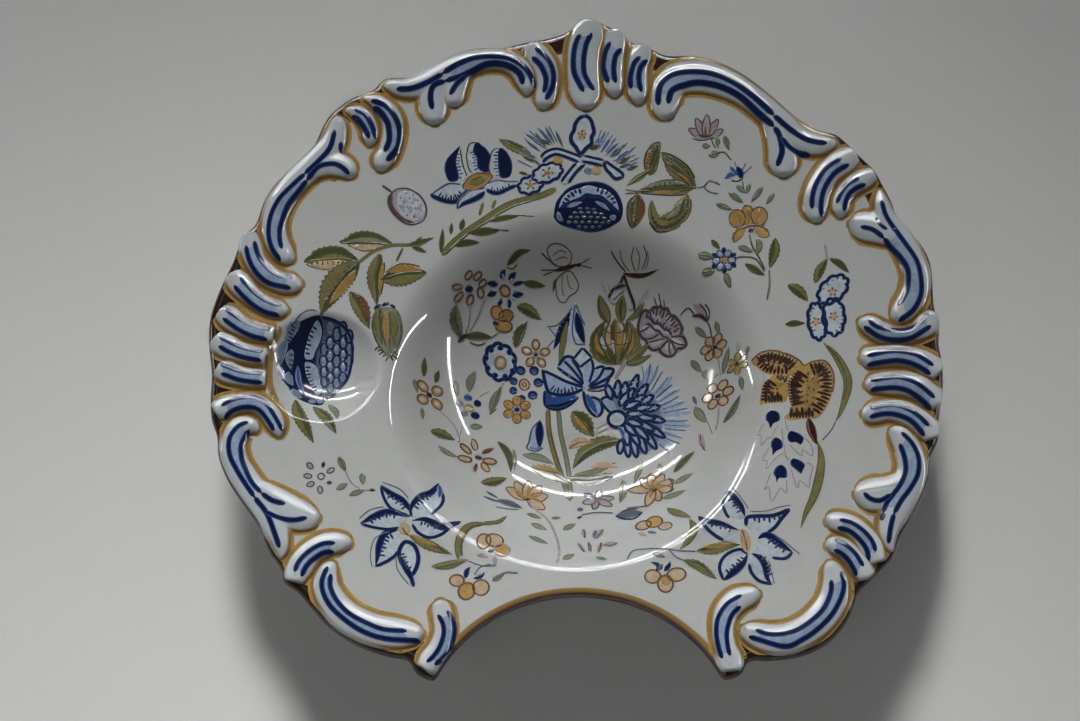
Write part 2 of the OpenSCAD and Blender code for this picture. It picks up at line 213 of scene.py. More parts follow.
# Painting: each motif has a heading, its place, and the marks of the brush in the order of painting.
# at: x y of the place, from which all points of the motif are measured.
# A mark is a colour, a kind and its numbers, and a slash stands for the colour and kind of the mark above.
# A line that starts with a number goes on with the mark above.
# line, leaf and loop: half width, then x y of each point; a leaf swells, and a loop closes.
# fill: x y of each point of an outline, with the first and the middle point at its two tips.
# disc: x y, two radii, turn in degrees; ring: half width, then the same.
# dots: two radii, then x y of each; beads: half width, then the same, in outline.
# frill: half width, x y, two radii, turn, count and depth of the scallops.
# plumes: half width of the outline, half width of the petals, then x y of each foot and tip.
# petals: x y, count, distance, two radii, first turn; daisy: half width, then the same, in outline.
# comb: half width, x y of each point of an edge, tooth count, tooth length to the left.
# pair: half width, then two lines of equal point count with a wash between them.

# Cobalt strokes on the relief
BORDER_PAINT = """
# Shell at the top
at -20 150.5
cobalt pair 1.4 0 17.5 4 13 6.5 7 6.5 2 5.5 -1.5 1.5 22 8 15.5 10.4 8 9.5 1 6.5 -5
/ 1.4 23.5 30 21 24 20 16 20.5 9 23 3 25 -1 29 30 26.3 24 25 16 25.2 9 27.5 3.5 30 0
/ 1.4 38 25.5 35.5 20 34.5 13 35.5 8 37 4 43.3 22 40.6 18 39.6 13 39.6 8 40.4 3.6
/ 1.4 52.5 17.5 49.5 14 48 9 47.5 5 48 1 56 16 53 12.5 51.7 8 51.8 3 52.8 -1
# Scroll at the top right
at 40 115.5
cobalt pair 1.6 1 27 1 33 3 39 9 43 18 44 28 42.5 38 37.5 48 29 56 20.5 5.5 27.5 7 33.5 9.5 35.8 13 37.2
20 38.5 30 36.5 40 31 49 22 56 14.5
cobalt line 1.5 56 20.5 64 12.5 72 7 81 5
/ 1.5 56 14.5 58.5 9.5 59.5 2 58.5 -2 57 -6
/ 1.4 59 9 63 4 68 1 73 0
# Fan at the upper right
at 122 89.5
cobalt pair 1.3 5.5 23 -2 18 -7 10 -9 3 -9.3 -2.5 9 20 2 15.5 -3 8 -5 0 -5 -6.5
/ 1.2 13.5 12.5 8 9.5 4.5 5 2.5 0 16.5 9.5 11 7 7.5 3 5.5 -4
# Scroll above the right shell
at 141 32.5
cobalt line 1.2 4.4 57.5 6 50 9.6 43 11.5 40
cobalt pair 1.25 9.6 43 15 34 19.4 25.6 20.8 16 20 8 16 1 9.6 -3.6 4.6 38.4 8 34 12 28.6 15 22 14.8 15 13
9 9.6 4
cobalt line 1.2 -6 44.4 -1 43 2.5 40.5 4.6 38.4
/ 1 1.4 49 3.4 45 6.4 42.4
# Shell at the right
at 134 -22.5
cobalt pair 1.2 2.4 52 7 48 16 46.5 24 48.5 30.6 54 0.4 49 7 43.7 14 41.7 22 42.5 31 48
/ 1.2 1 33.8 9 35.4 16 35.6 24 33.2 31 27.8 1 29.8 9 31 16 31.2 23 28.8 29.6 24
/ 1.2 2 21.4 12 22.8 18 21.8 24 18.5 30.6 11.8 2 17.4 12 17.8 18 16.5 23 13.2 29 7
/ 1.2 1 8 11 9.2 17 7.5 22.5 3.5 27 -2 0.6 3.6 8 5 14 4 20 0.5 25 -6.4
# Scroll below the right shell
at 137 -66.5
cobalt pair 1.2 11.5 39.5 16 34 18.5 27 17.8 19 14 12 9.5 6 6 0 10.5 34 12.2 28 12.5 21 10 14.5 6 9 3 5
1.5 1
cobalt line 1.2 6 0 4 -7 2.8 -14
/ 1.2 1.5 1 0.5 -3
/ 1.2 -7 10.5 -4 7.5 0.5 6.7 5.5 9.5
# Fan at the lower right
at 115 -88.5
cobalt pair 1.15 3.5 19.7 9 18 14 14 17.5 9 18.8 4 2.5 16.2 8 14.2 12.5 9.5 15 5 15.8 0
/ 1.1 1 10 5 8 9.5 3.5 13 -3 0.5 5.5 4 3.5 7.5 -1 10 -7
# Scrolls and lobes at the bottom
at -114 -128.5
cobalt pair 1.2 227.5 31 227 25 223.5 17.5 218 12 211 7.5 204 5.8 198 6 193 8 232 35 233 29 231.5 23 227.5
15.5 221 8.5 213 3 205 0.3 190 5
/ 1.1 187.5 24.5 181 20.5 176.8 14 175.8 7 176.6 0 178 -5 187 19.5 183 15.5 180.8 9.5 180.2 5 180.6 0
181.3 -4
/ 1.1 52.5 15.5 54.8 11 55.2 6 53.5 0 50.7 -4.5 48 -7 56.5 17.5 59.4 12.5 59.8 7 58 0 54.6 -5 51.5 -8
/ 1.2 4.5 34 4.5 28 7.5 21.5 13 15.5 21 11 29 8 39 7.5 3 37.5 0.7 29 4 20 12 12 21 6.5 31 3.8 45 3.3
# Fan and scroll at the lower left
at -154 -89.5
cobalt pair 1.2 46 9.8 40 9 34 5 30 0 28.5 -4.5 45.5 6 40.5 5 35.5 1 33 -2.5 31.5 -6.5
/ 1.2 4.5 67.5 0 65 -3.5 59 -3 51 1 43 5.5 36 9 31 5 64 2.8 59.5 1.7 55 2.5 49 4.5 44 7.5 38 12 33
cobalt line 1.3 9 31 10.5 29 15.5 22 21.3 7
/ 1.3 12 33 17 29.5 23 28
/ 1.2 14 24 20 21.5 27 20.5 33 21.7
# Shell at the left
at -157 -19.5
cobalt pair 1.1 -5 5 0 8.2 6 9.8 11 9.5 16 6 23.2 -6 -3.5 -0.5 0 3 5 5 10 4.8 14 2 19.4 -6
/ 1.1 -6.4 25.7 -3 24.4 2 22.7 8 21.9 13 21.7 -6 21.2 -3 20.2 2 18.5 8 17.7 13 17.5
/ 1.1 -7.6 39.4 -4 37.4 1 35.1 7 33.5 12.6 32.8 -7.6 34.9 -4.6 33 0.6 30.7 6.6 29.2 12.2 28.5
/ 1.1 -5.4 53.6 -1.6 50.6 3.4 47.6 9 45.5 15.4 44 -6.4 49 -3 46.2 2 43 7.6 40.6 14.4 39.2
/ 1.1 0.6 69.8 5 64.6 10 60.2 15.4 57.4 20.4 56.4 -2 65.6 2.4 60.6 7.4 56.2 13 53 19.4 51.6
/ 1.2 6.4 88.6 8.4 81.6 12.6 75.6 18 71.6 24.6 70.6 2.6 86 4.6 78.6 8.6 72 14.6 67.4 24.4 65.4
# Scroll above the left shell
at -145 65.5
cobalt pair 1.2 7 -5.5 3 0 1 7 1.5 16 5 25 11 32.5 17 39 7.5 0 6.4 4 6 9 7 15 9.5 23 14 30 18 36
cobalt line 1.3 17 39 23.5 46 28.5 53 30.5 62
/ 1.3 18 36 23 42.5 29 44.5 33.5 43.5 38 39.8
/ 1.2 33.5 56.5 33.5 51
# Fan and scroll at the upper left
at -98 126.5
cobalt pair 1.4 -7.5 12.5 -2 9.5 1.5 3 3 -2.5 -8.5 9.5 -4.5 6 -1.5 1 0 -2.5
/ 1.5 0.5 17.5 8 14 12.5 8 14.5 1 13.5 -7 8.5 -14 1.5 14.5 5.5 11 8.5 6 9.5 1 9.5 -4 7.5 -9.5
cobalt line 1.5 12.5 23.5 20 24 28 27.5 35 32.2
cobalt pair 1.6 35 32.2 42 37 50 40.5 58 41.5 67 40.5 74 36 77.5 31 79 26 36 28.5 43 30.5 49 34 55 37.2 61
38 67 36.5 72 32.5 73.7 27
cobalt line 1.5 30 13 29 20 30.5 25.5 36 28.5
/ 1.4 38.5 21 41.5 26.5 46 31.5
"""

# Flowers and leaves on the flange
FLANGE_PAINT = """
# Tulip at the top left
at -56 98
milk fill 1.4 24 0 16 1 10 3 6.5 5 9 3 14 2.2 20
cobalt fill 1.4 24.5 -4 19 -6 14 -5.4 9.5 -3.4 6 0.5 6.6 1 10 -0.4 16 0.8 22
cobalt comb 0.4 0.8 22 -0.4 16 1 10 0.5 6.6 8 2.2
brown line 0.35 1.4 23 3 14 5 9
milk fill 9 26 5.8 25.4 4.6 19 5.8 12.5 7.5 10.7 11 12 9.6 14 9.3 18.4 7.5 22
cobalt fill 9.3 26.6 13.4 24 16.4 19.5 16.6 17 15 11.3 11 12 9.6 14 9.3 18.4 7.5 22
cobalt comb 0.4 11 12 9.6 14 9.3 18.4 7.5 23 7 2.2
brown line 0.35 9 26.4 5.8 25.4 4.6 19 5.8 12.5 7.5 10.7
milk fill 20 23.4 17 22 15.2 13.6 17 9 21 8.4 19.8 12 19.5 17
cobalt fill 20 23.4 22.8 23 25.8 18.4 26.6 13.6 25.2 9 21 8.4 19.8 12 19.5 17
cobalt comb 0.4 21 8.4 19.8 12 19.5 17 20 23 8 2.2
brown line 0.35 20 23.6 17 22 15.2 13.6 16.5 9.5
milk fill 14.6 5.4 14 2.5 17 0.7 20.5 0.7 24 2.5 28.7 4.8 29.3 6.6 24 6.5 19 7
cobalt line 1.1 14 2.5 17 0.7 20.5 0.7 24 2.5 28.7 4.8
cobalt comb 0.4 15 2 18 1 22 1.6 27 4 7 2.4
cobalt line 0.4 14.6 5.4 19 7 24 6.5 29.3 6.6
milk fill -12.5 -1 -7.2 3 -3.4 5 3 4 6 2 4 0 0 -4 -4.2 -4.3 -9 -2.8
cobalt line 1.2 -12.5 -1 -9 -2.8 -4.2 -4.3 0 -4 4 0 6 2
cobalt comb 0.5 -10 -2.2 -4.2 -4 0 -3.4 4 0 9 3.2
cobalt line 0.5 -12.5 -1 -7.2 3 -3.4 5 2 4.5
milk fill 0.5 -8 1 -4 4.6 0 7.5 2 13.4 3 14 1.3 12.8 -1.6 9.3 -4 3.4 -6.4
cobalt fill 0.5 -8 2.6 -4.5 8 -1.5 11 0.4 13.5 1.4 12.8 -1.6 9.3 -4 3.4 -6.4
cobalt line 0.5 0.5 -8 1 -4 4.6 0 7.5 2 13.4 3
ochre fill 3 4 6.4 9 11.6 10.7 17 9.5 14.6 6 10 2.5 5 2
olive disc 10 6.5 4 2 20
russet loop 0.45 3 4 6.4 9 11.6 10.7 17 9.5 14.6 6 10 2.5 5 2
# Leaf and stem below the tulip
at -60 78
olive leaf 2.5 24 48.6 30 45 36 42 41.5 38.4
green line 0.35 25 48 30 45.3 36 42.4 41 39
olive line 1.6 -2.6 -11.6 2.7 -5.2 9.8 1.3 16.2 6 23.3 11.3 30.4 15.4 38.6 17.8 44.5 19.5 51.5 23
green line 0.6 -1 -11 4.5 -5.2 11.5 1 18 5.4 25 10.5 32 14.4 40 16.8
olive line 0.8 15 9 16.8 16
/ 0.8 21 12.5 22.7 17.2
green leaf 1.3 -3.2 -10.5 -2.3 2
/ 1 1.5 -1 1.8 5
/ 1.5 6.2 1 7.4 7.4
/ 1.7 3 -7 8 -5 15 -4
/ 2 9.5 0 17 1 25 2.3
green line 0.3 24.5 2.2 29 2.4
green leaf 1.5 19.2 6 27 8 34.5 9.5
green line 0.3 34 9.4 41 9.2
# Small outlined flowers and twigs at the top
at -21 112
slate leaf 0.8 -2.2 17.3 5.5 12
/ 0.8 -1.6 13.2 5 8
/ 0.8 2.4 18 8.4 9
/ 0.8 7.2 21 12 12
/ 0.8 12.2 19 16 10
/ 0.7 -4 9.6 3.4 4.4
/ 0.7 0.4 5 6 0
blue leaf 0.6 5 19.6 11.4 11
/ 0.6 0.2 15.4 7.4 9.4
green leaf 1 4 14.6 10 11.4
/ 0.9 -3.4 5.6 2.4 2.4
/ 0.9 -5.4 -2.6 -0.4 -4
blue leaf 0.8 32 9 36.5 19
/ 0.8 34 7.4 40 17
haze leaf 1.5 31 12.6 35.6 14.4
blue leaf 0.8 36 6 43.4 13.6
haze leaf 0.9 38 5.4 45.4 12
blue leaf 0.8 40 3 51 10.6
haze leaf 0.8 41.4 2 51 6.6
blue leaf 0.7 42.4 -0.6 52 2.6
green leaf 1.5 28.6 9.4 33.8 11.4
/ 1.5 39.4 5.6 44.4 10.4
/ 1.4 43 1.8 48 5.6
/ 1.2 46.4 -1.4 52 0.8
blue line 0.3 -3 15 4 9
/ 0.3 -0.6 19 6 12.6
/ 0.3 3.6 20.6 9.4 12.4
/ 0.3 9 21.4 13 13
/ 0.3 -5.4 7.4 1.4 3.6
slate line 0.3 -6 3.4 1 0
blue line 0.3 34.4 19.4 31.6 11
/ 0.3 38 18.4 33.4 9.6
slate line 0.3 41.6 15.6 36 7.6
blue line 0.3 47 12.4 39 5
/ 0.3 49 8.6 41.4 2.6
slate line 0.3 52.4 5 43 0
milk disc 0.2 -9.2 5.8 4 20
cobalt frill 0.75 0.2 -9.2 6.3 4.5 20 8 0.16
russet petals 0.2 -9.2 5 2.1 0.8 0.5 20
ochre disc 0.2 -9.2 1.5 1.2 0
milk disc 8.4 -3 7.5 4.4 22
cobalt frill 0.75 8.4 -3 7.8 4.7 22 9 0.14
russet petals 8.4 -3 5 2.4 0.9 0.6 0
ochre disc 8.4 -3 1.8 1.3 0
milk fill 5 5 8 8 13 9.4 19.6 7.3 25 5 23.5 2.6 19 4.6 13 6.6 9 5.3
cobalt line 0.75 5 5 8 8 13 9.4 19.6 7.3 25 5
/ 0.75 6 2.5 9 5.3 13 6.6 19 4.6 23.5 2.6
straw disc 13.4 3.4 2.6 1.6 0
peach disc 31.8 -1.7 2.4 2 -20
haze fill 25.6 -1.6 27.4 0 30 -1.4 28.4 -3.6
milk fill 23 2.4 19.6 -1.4 15.4 -7.4 17.8 -8.4 21 -4.4 24.6 -0.4
cobalt line 0.75 22.4 2.4 18.8 -2 15 -7.4
/ 0.75 26.4 1.6 22.2 -2.4 18.4 -8
milk fill 25.6 5.4 30 5 35.6 3.4 35 0.8 30 1.4 26 3
cobalt line 0.7 25.4 6 30 4.8 35.8 3.5
/ 0.7 25 3.2 30 2 35 0.8
milk fill 36 2.8 40 0 44.6 -4 41.2 -6 38.4 -3.3 36.2 -0.6
cobalt loop 0.8 36 2.8 40 0 44.6 -4 41.2 -6 38.4 -3.3 36.2 -0.6
milk fill 26.2 26.4 23.2 24.4 22 21.4 20.6 18 19.6 13.6 21.8 10 24.2 7 27.4 10 29.6 13 30.4 17 30.4 21
28.6 25
cobalt loop 1 26.2 26.4 23.4 24.8 21.6 21.6 21.2 19 19.8 16.2 20 13 22 10.4 24.2 7 27 9.8 29.6 12.2 29.6
15.4 30.8 18 30.2 21.4 29.4 24.2 28 25.8
peach disc 25.1 16.7 3.4 1.8 80
russet petals 25.1 16.7 5 1.7 0.9 0.5 90
brown disc 25.1 16.7 0.6 0.6 0
# Blue carnation
at 0 83
cobalt fill -9.6 5 -8.6 11 -5 16.5 0 20 6 21.6 12 21.6 17 19.6 21 15.6 23.4 9 22.6 3 19 0.4 14 -1.4 8 -2 2
-1 -3 0 -7 1.4 -9 3 -9.6 4
slate dots 1.2 0.7 3 8 6.4 8 9.4 7.6 0.4 6 3.6 6 6.8 6 10 5.8 13 5.4 -1.6 4 1.6 4 4.8 4 8 4 11.2 3.8 14.4
3.4 -2.4 2 0.8 2 4 2 7.2 2 10.4 1.8 13.6 1.6 16.4 1.8 2.4 0.2 5.6 0 8.8 0 12 0
wash fill -7 8.5 -5.6 13 -2 16.6 3 18.4 7 19.8 11 18.6 16 16.8 19.6 13 21.4 7 18.4 9.4 15 12.6 11 14.4 7.6
15.4 4 13.8 0 12.4 -4 10.4
cobalt comb 0.75 21 9 18.8 14.6 14.6 17.8 9.4 19 6 3.3
/ 0.75 4.6 18.8 0 17.4 -4 14.2 -6.6 9.4 6 3.1
cobalt line 0.9 -6.4 8.6 -3 10.4 0.6 12 3.6 13.2 6 15 9 14.2 12.4 14 15.6 11.6 18.6 8.4 21.4 5.6
haze leaf 1.2 -7.6 6.4 -7 4 -5 2.4
/ 1 -3.4 8.6 0 10 4 11.2
/ 1 10 11.6 14 9.4 17 6.6
haze dots 1.6 1.3 18.6 3.6
# Oak leaves at the top right
at 32 92
olive fill 9.6 33 6 32 3 28 1.6 23 2 18.4 4 15.6 7 17 8.6 21 9.2 25 9.8 29
/ 5.4 19 1 17.4 -3.6 14.4 -7 10.4 -3.6 11.4 1 13.8
/ 10 27.2 14.4 26 19 23 23 19 25.6 14 26.4 8 23.4 10.4 20 14 16 17.4 12 21.6
/ 0 6.8 4 10.4 9.4 13 15 13.4 20.4 12.4 26 9.6 21 5.8 15 5.6 9 6 4.4 6.2
/ -2 6.2 -5.4 2.6 -6.6 -3 -5.8 -7.6 -4 -10.4 -0.6 -8.2 1.8 -3.6 1.6 2
/ 22 6 24 1 22.6 -5 18.4 -10.2 12.6 -12.6 7.4 -12.2 4 -8 3.2 -2.6 5 3 6.8 -0.6 8 -4 10.6 -6 13.6 -5.8 16.6
-3.6 19 0 20 3.4
olive leaf 3.2 11.6 22 17.4 16.4 25.6 9
/ 3.4 -1 7.8 12 9.4 26 8.8
/ 3 21 4.6 16.6 -4 8 -6.4
/ 3.8 -1.4 6.4 -2.6 -2 -3.6 -10.4
/ 3 8.4 31.6 6 24 4.4 15.6
sage leaf 1.5 11.4 25.4 16 22.4 20 18
/ 1.5 3 9.2 10 11.4 17 11.4 23 10
/ 1.5 18.6 2 16.4 -3.6 11.4 -7
ochre leaf 0.9 4.8 29 3.6 23 4.4 18
/ 0.9 5 6.8 12 6.6 19 6.8
/ 0.9 18 16.4 22 12.6 24.6 9.4
russet leaf 1.8 -0.4 4.4 0 -2 -2 -8
green leaf 1.3 9 32 6.4 25 4 16.6
green line 0.5 4.6 18 0 15.4 -5.6 11
green leaf 1.3 12 25.8 18 22 22.6 17 25.6 10
green line 0.7 2 7.4 9 8.6 16 8.6 25 9.2
green leaf 1 -3 4.6 -4.6 -2.4 -4 -9
/ 1.4 22.6 4 21.8 -3 17.6 -8.4 12.4 -11 7.4 -9.6 5 -4.6 5 1.6
brown comb 0.3 9.4 32 5.6 30 3.4 26 2.6 20 7 2.4
/ 0.3 25.6 13 22 19 17 23.6 11.6 26 8 2.4
/ 0.3 24 9.6 16 12.4 8 11.4 2 8 8 2.4
/ 0.3 -3 5.4 -5 0 -4.6 -6 -3.4 -9.6 6 2.2
/ 0.3 23 3 22 -4 17 -9.6 11 -12 6 -9.6 4 -4 12 -2.4
brown line 0.35 9.6 32.8 6 31.8 3.2 28 1.8 23 2.2 18.6
/ 0.35 10 27.4 14.6 26.2 19.2 23.2 23.2 19.2 26 13.6
/ 0.35 -2 6.2 -5.6 2.6 -6.8 -3 -6 -7.6 -4 -10.6
/ 0.4 18.6 -10.4 12.6 -12.8 7.2 -12.4 3.8 -8
/ 0.4 0 6.8 8 5.8 15 5.4 21 5.6
russet line 0.4 10.4 24.6 12.6 20.6 16.4 17 20.4 13.4 23.6 9.6
/ 0.4 23.8 3 23.8 -1 22.6 -5 20 -8.6
/ 0.3 -7.6 8.6 -2 7.6 4 7.6
/ 0.3 -7.6 6.4 -4 6.6 0 6.6
slate line 0.4 26.6 9 30 9.4 33 12.3 38 10
/ 0.35 30 9 33 6.4 37 5.6
# Sprig at the upper right
at 63 58
purple plumes 0.4 1.9 0.4 68.4 -7.6 73.4 0.4 68.4 9 72.6 0.4 68.4 -4 78.8 0.4 68.4 6.6 78 0.4 68.4 1.4
80.6
purple line 0.6 -6 68.8 -3 67.6 1 67.8 4.4 69.2
purple leaf 1 -3.6 70.6 0.6 69 4.6 71
russet leaf 0.7 0.4 69 0.6 75
purple line 0.35 3 68 4.6 64 5.6 63
sage leaf 1.6 -1.5 64.4 2.8 64
/ 1.9 1.6 59 7.4 60.8
/ 1.2 6 69 6.5 63
/ 1.5 9.4 69.6 11.6 61.6
green line 0.3 -1 64.4 2.6 64
/ 0.4 2 59.3 7 60.8 9.6 60.4 12.5 56.5
/ 0.3 9.6 69 11.4 62
blue leaf 1.5 9 47.2 13 49.6 16.6 49.6
/ 1.2 11.6 53.4 15.6 48.6
blue line 0.35 14 56 15.6 50
/ 0.35 19.6 55.4 16.8 50
/ 0.35 22.4 53.6 17.6 49
cobalt leaf 1.6 15 53.6 16.6 50 17.2 46
cobalt line 0.5 12 46.4 15 45.8 18 47.6
green line 0.35 17.6 46 18.2 39.6
sage leaf 1.4 4.6 34.2 12.6 31
/ 1.5 10.8 40.2 17.6 34.4
/ 1.3 14.6 43.6 19 39.4
/ 1.1 21 44.6 19.4 39.2
/ 1.4 27.2 42.6 21.4 34.6
/ 1.1 32.6 39 28.4 33.4
green line 0.35 5 34 12.4 31.2
/ 0.35 11.4 39.6 17 35
/ 0.35 26.4 41.6 21.8 35.4
straw disc 14.6 26.6 3.8 4.6 0
/ 25 27.6 3.8 4.6 0
/ 20 27.6 3.2 5.2 0
straw leaf 2.2 12.4 14.6 15 19 18.6 22.4
/ 2.2 29.4 17 26 19 22.4 22.2
ochre leaf 1 20 31.6 20 23
/ 0.8 15.6 30 16.4 23
/ 0.8 25 31.4 24 23.4
russet ring 0.35 14.6 26.6 3.8 4.6 0
/ 0.35 25 27.6 3.8 4.6 0
russet line 0.35 17 30.4 18.4 33 21 32.6 22.4 30
/ 0.5 13.6 22.4 17 21.6 20.6 22.8 25 22.4 27.6 23
/ 0.35 12.4 14.6 12.8 18.4 16.4 22
/ 0.35 29.4 17 28.4 20.4 24.6 22.2
purple disc 21 20.4 1.6 1.2 20
green line 0.35 20 18.6 21.4 12 24 7 27 0
sage leaf 1.5 14.4 12.4 21.6 9.4
/ 1.6 23.6 16.2 24.6 12 23 7.8
green leaf 2.5 32.2 16 31.6 9 29 1
/ 1.7 17.6 3.4 26.6 -2.8
sage line 0.5 28.8 0 28.8 -8 27.4 -15
green line 0.3 12.6 6.6 18 7 23 5.4 26.6 -1
wash petals 7.8 5.5 6 4 1.9 1.4 0
cobalt petals 7.8 5.5 6 5.1 1.5 1.2 30
cobalt daisy 0.3 7.8 5.5 6 3.6 1.9 1.4 0
ochre disc 7.8 5.5 1.5 1.3 0
green leaf 1.3 2 16 6 11.4
sage leaf 1.9 -4.4 9.2 3 7
/ 1.8 -2.6 0.8 3.6 0.8
/ 1.5 8 -0.6 10.6 -8
green line 0.35 -4 9 2.6 7.2
/ 0.35 -2 0.8 3 0.8
# Trefoil and arched leaf at the right
at 112 -29
milk disc 9.2 75.8 8.4 5.2 46
/ 1.2 60 9.2 3.8 94
/ 9 62 9.2 4.8 90
cobalt frill 0.85 9.2 75.8 9 5.7 46 9 0.13
/ 0.85 1.2 60 9.8 4.3 94 9 0.13
/ 0.85 9 62 9.8 5.3 90 9 0.13
cobalt comb 0.4 12 70.4 15 75 15.2 80 11.6 82 6 78.6 3.2 74 8 1.2
/ 0.4 9 53 12.4 57 13.6 63 12.4 68.6 7 1.2
/ 0.4 0.6 68.6 -2.2 64 -2.2 58 0.4 53.4 7 1.2
peach dots 1.8 1.8 9 74.6 0.8 60 9 62.4
russet petals 9 74.6 5 1.7 0.8 0.4 20
/ 0.8 60 5 1.7 0.8 0.4 45
/ 9 62.4 5 1.7 0.8 0.4 60
green leaf 2.3 1 79.4 3.6 86 7.4 92
/ 1.9 8.2 91.6 12.6 89 17 84
/ 2.7 -11.8 79 -7 76 -2.6 70.4
/ 1.7 -13.6 59 -9 59.4 -4.4 59.4
mauve line 0.5 6.5 99 7.2 91
olive leaf 2.15 3.6 49.4 9 42.5 13 34 14 28 12.5 21 9.5 13 7 9
green line 0.4 4.6 48 9.6 41.6 12.8 33 13.4 27 11.6 20
slate line 0.35 7.6 9.6 5 5 1 0.4
# Spotted flower
at 0 0
straw fill 82.4 13.6 87 16.7 93 17 99.6 14.8 104.4 11.4 106 8.8 101 4.6 95 4.4 91 5 88 6.4 85 9.8
/ 93 5.4 97 5 100 3 99 -3 98 -7 96.6 -9 92 -9 87 -9 85.4 -9.2 86.2 -3.6 87.4 0.8
/ 106 8.8 110.6 10.8 116.4 10.6 119.6 4 118.8 -4.8 115.4 -12.8 111.2 -17.4 106 -17.4 98.4 -18 97 -15.8 100
-12.4 98.8 -7.4 98.4 -3.6 98.4 0.8 100.8 4.6 103.6 8.2
ochre leaf 2.1 86 13.4 95 11.4 103 8
/ 2 88 -3 93 -0.6 98 1
/ 3.2 107 -15 109.4 -4 113 7.6
brown comb 0.75 104.4 10.6 99.6 14.4 93 16.6 87 16.2 83.4 14 12 6.4
/ 0.75 83.8 12.2 86 9.2 89 6.4 94 5 100 5 9 5.2
/ 0.75 90.4 4.2 87.4 0.8 86.4 -3.6 85.8 -8.4 7 5.8
/ 0.75 87 -8.8 92 -8.8 96.6 -8.6 6 5.4
/ 0.75 99.6 3.4 96 4.8 92.6 4.8 4 3.2
/ 0.75 107.4 9.4 111 10.6 115.6 10.4 118.8 5 119.2 -1 118 -6.6 115 -12.6 111.6 -16.8 18 -6.6
/ 0.75 103.6 8 100.8 4.4 98.6 0.6 98.6 -4 99 -7.6 100 -12 13 6.8
/ 0.75 97.8 -16.8 102 -17.2 106 -17 110.6 -17 8 5.6
brown dots 0.5 0.7 108 5 110.4 6.4 112.6 4.6 107.6 1.4 110 2.4 112.4 0.6 108 -2 110.4 -3.2 107.4 -5.6
109.8 -7 107 -9 109 -10.6 96 11 92.6 12 99 9.6 91 -1 93.6 -2.2
russet line 0.35 82.4 13.6 87 16.8 93 17.2 99.6 15 104.4 11.6 106.4 9.2 110.6 11 116.4 10.8 119.8 4 119
-4.8
brown leaf 2.1 107 -17 108.6 -24 110.6 -30.6
russet line 0.5 106.6 -18 107.4 -24 109.6 -29.6
olive leaf 2.1 111 -29 112.2 -37 111 -46 108 -56 104 -64 101.4 -71.4
# Bluebells
at 89 -45
cobalt fill 1.6 32.2 4.8 31 5.2 27.2 2.2 25.6 0.8 23.2 0 26 -1.2 27.8 -0.8 30.6
/ 3 18.6 5.6 17.2 6 13.6 3 11.8 1.2 9.8 1.2 12.4 0.6 14.8 1.2 17.4
/ 9.8 21.6 13.4 20.4 15.8 17.8 14.2 14.6 12.2 16 9.4 16 8.2 18.6
/ 4.8 5 7.2 3 7.2 -1.4 3.8 -1.4 2.6 -3.8 2.2 -1 1.2 0.8 2.4 3.6
/ 10.4 8 14.2 6.6 15.8 4.2 14 2 14.2 0 11.2 2.6 9 5.2
mauve line 0.28 -2.2 26 -5 21 -3.4 19.6 -3.6 14.8 -0.8 18.4 1.6 19 3 22.8 5 24.4
/ 0.28 0 14 -3.4 7.6 -1.4 7.4 -1.8 3.2 0.8 6.2 3 9 6.4 11.2
/ 0.28 9.4 14.8 12.2 11 14.6 9 14.8 12.2 19.2 9 19 14 16.4 17.8
/ 0.28 0 1 -3 -7 -1 -5.8 -0.2 -12.6 2.4 -9.4 4.4 -6.4 6.8 -9.2 7.2 -2.6
/ 0.28 9.4 3 11.8 -6.6 13.2 -3 17 -6.4 17.6 -2.6 19.2 4 16.4 5.4
/ 0.28 7.6 29.4 8 25 8.8 21.6
/ 0.28 5.8 23 6.6 15 7.4 9 9.4 7
# Lily at the lower right
at 69 -90
milk fill 0.5 38 -2 32 -0.5 27 4 23.6 8 25.5 6.5 29 4 33
/ 28 28.2 19 25 8.5 24.5 8 20 13 16 17 16.5 21 19.5 24 23.5
/ 28.2 7.3 22 12 18 16 13 13 13 8 19 5 25.5 4.5
/ 18.5 -8 16 0 14 4.5 10 7 8.8 1.5 9.5 -2 12 -5.5
/ -3 -5.5 -4.5 -0.5 -3.5 4 0 7.5 5 9 8 5.5 6 2 2 -2
/ -13 26 -10 20 -6 16 -3 14 3 14 4 18.5 -3 22 -9 23.5
cobalt leaf 1.7 0.6 38.6 4 33 6.5 29 7.6 25
cobalt line 0.75 0.5 38 -2 32 -1 27 0.6 24.4
cobalt comb 0.5 7.4 27 5.6 30 3.4 33.4 1.6 36 5 3
cobalt line 1 28 28.2 23 26 19 25 13 25 8.6 24.4 8 20.4
/ 0.9 28 28.2 24 23.5 21 19.5 17 16.4
cobalt comb 0.5 25 26 19 24.8 13 24.8 9.6 24.4 6 3.2
cobalt leaf 1.9 13 14 17 15.8 22 12 28.4 7
cobalt line 0.8 28.2 7.3 25.5 4.4 22 4.2 19 4.8
cobalt comb 0.5 27 8.6 22.6 11.6 18 15.2 5 3.2
cobalt leaf 1.7 10 7 14 4.5 16 0 16.5 -5 18.6 -8.4
cobalt line 0.8 18.5 -8 13 -6.4 9.6 -2.4 8.6 2
cobalt comb 0.5 16.4 -5 15.8 0 14 3.6 11.4 6 6 -3
cobalt leaf 1.8 -3 -5.8 2 -1.6 6 2.4 8.2 7
cobalt line 0.8 -3 -5.5 -4.6 -0.5 -3.5 4 0 7.5 5 9 8 6.6
cobalt comb 0.5 -1.6 -4 2 -1 5.6 2.6 7.6 6 6 3
cobalt leaf 1.5 -13.2 26.6 -9 23.3 -3 21.6 4.6 18.4
cobalt line 0.9 -13 26 -10 20 -6 16 -2.4 13.6
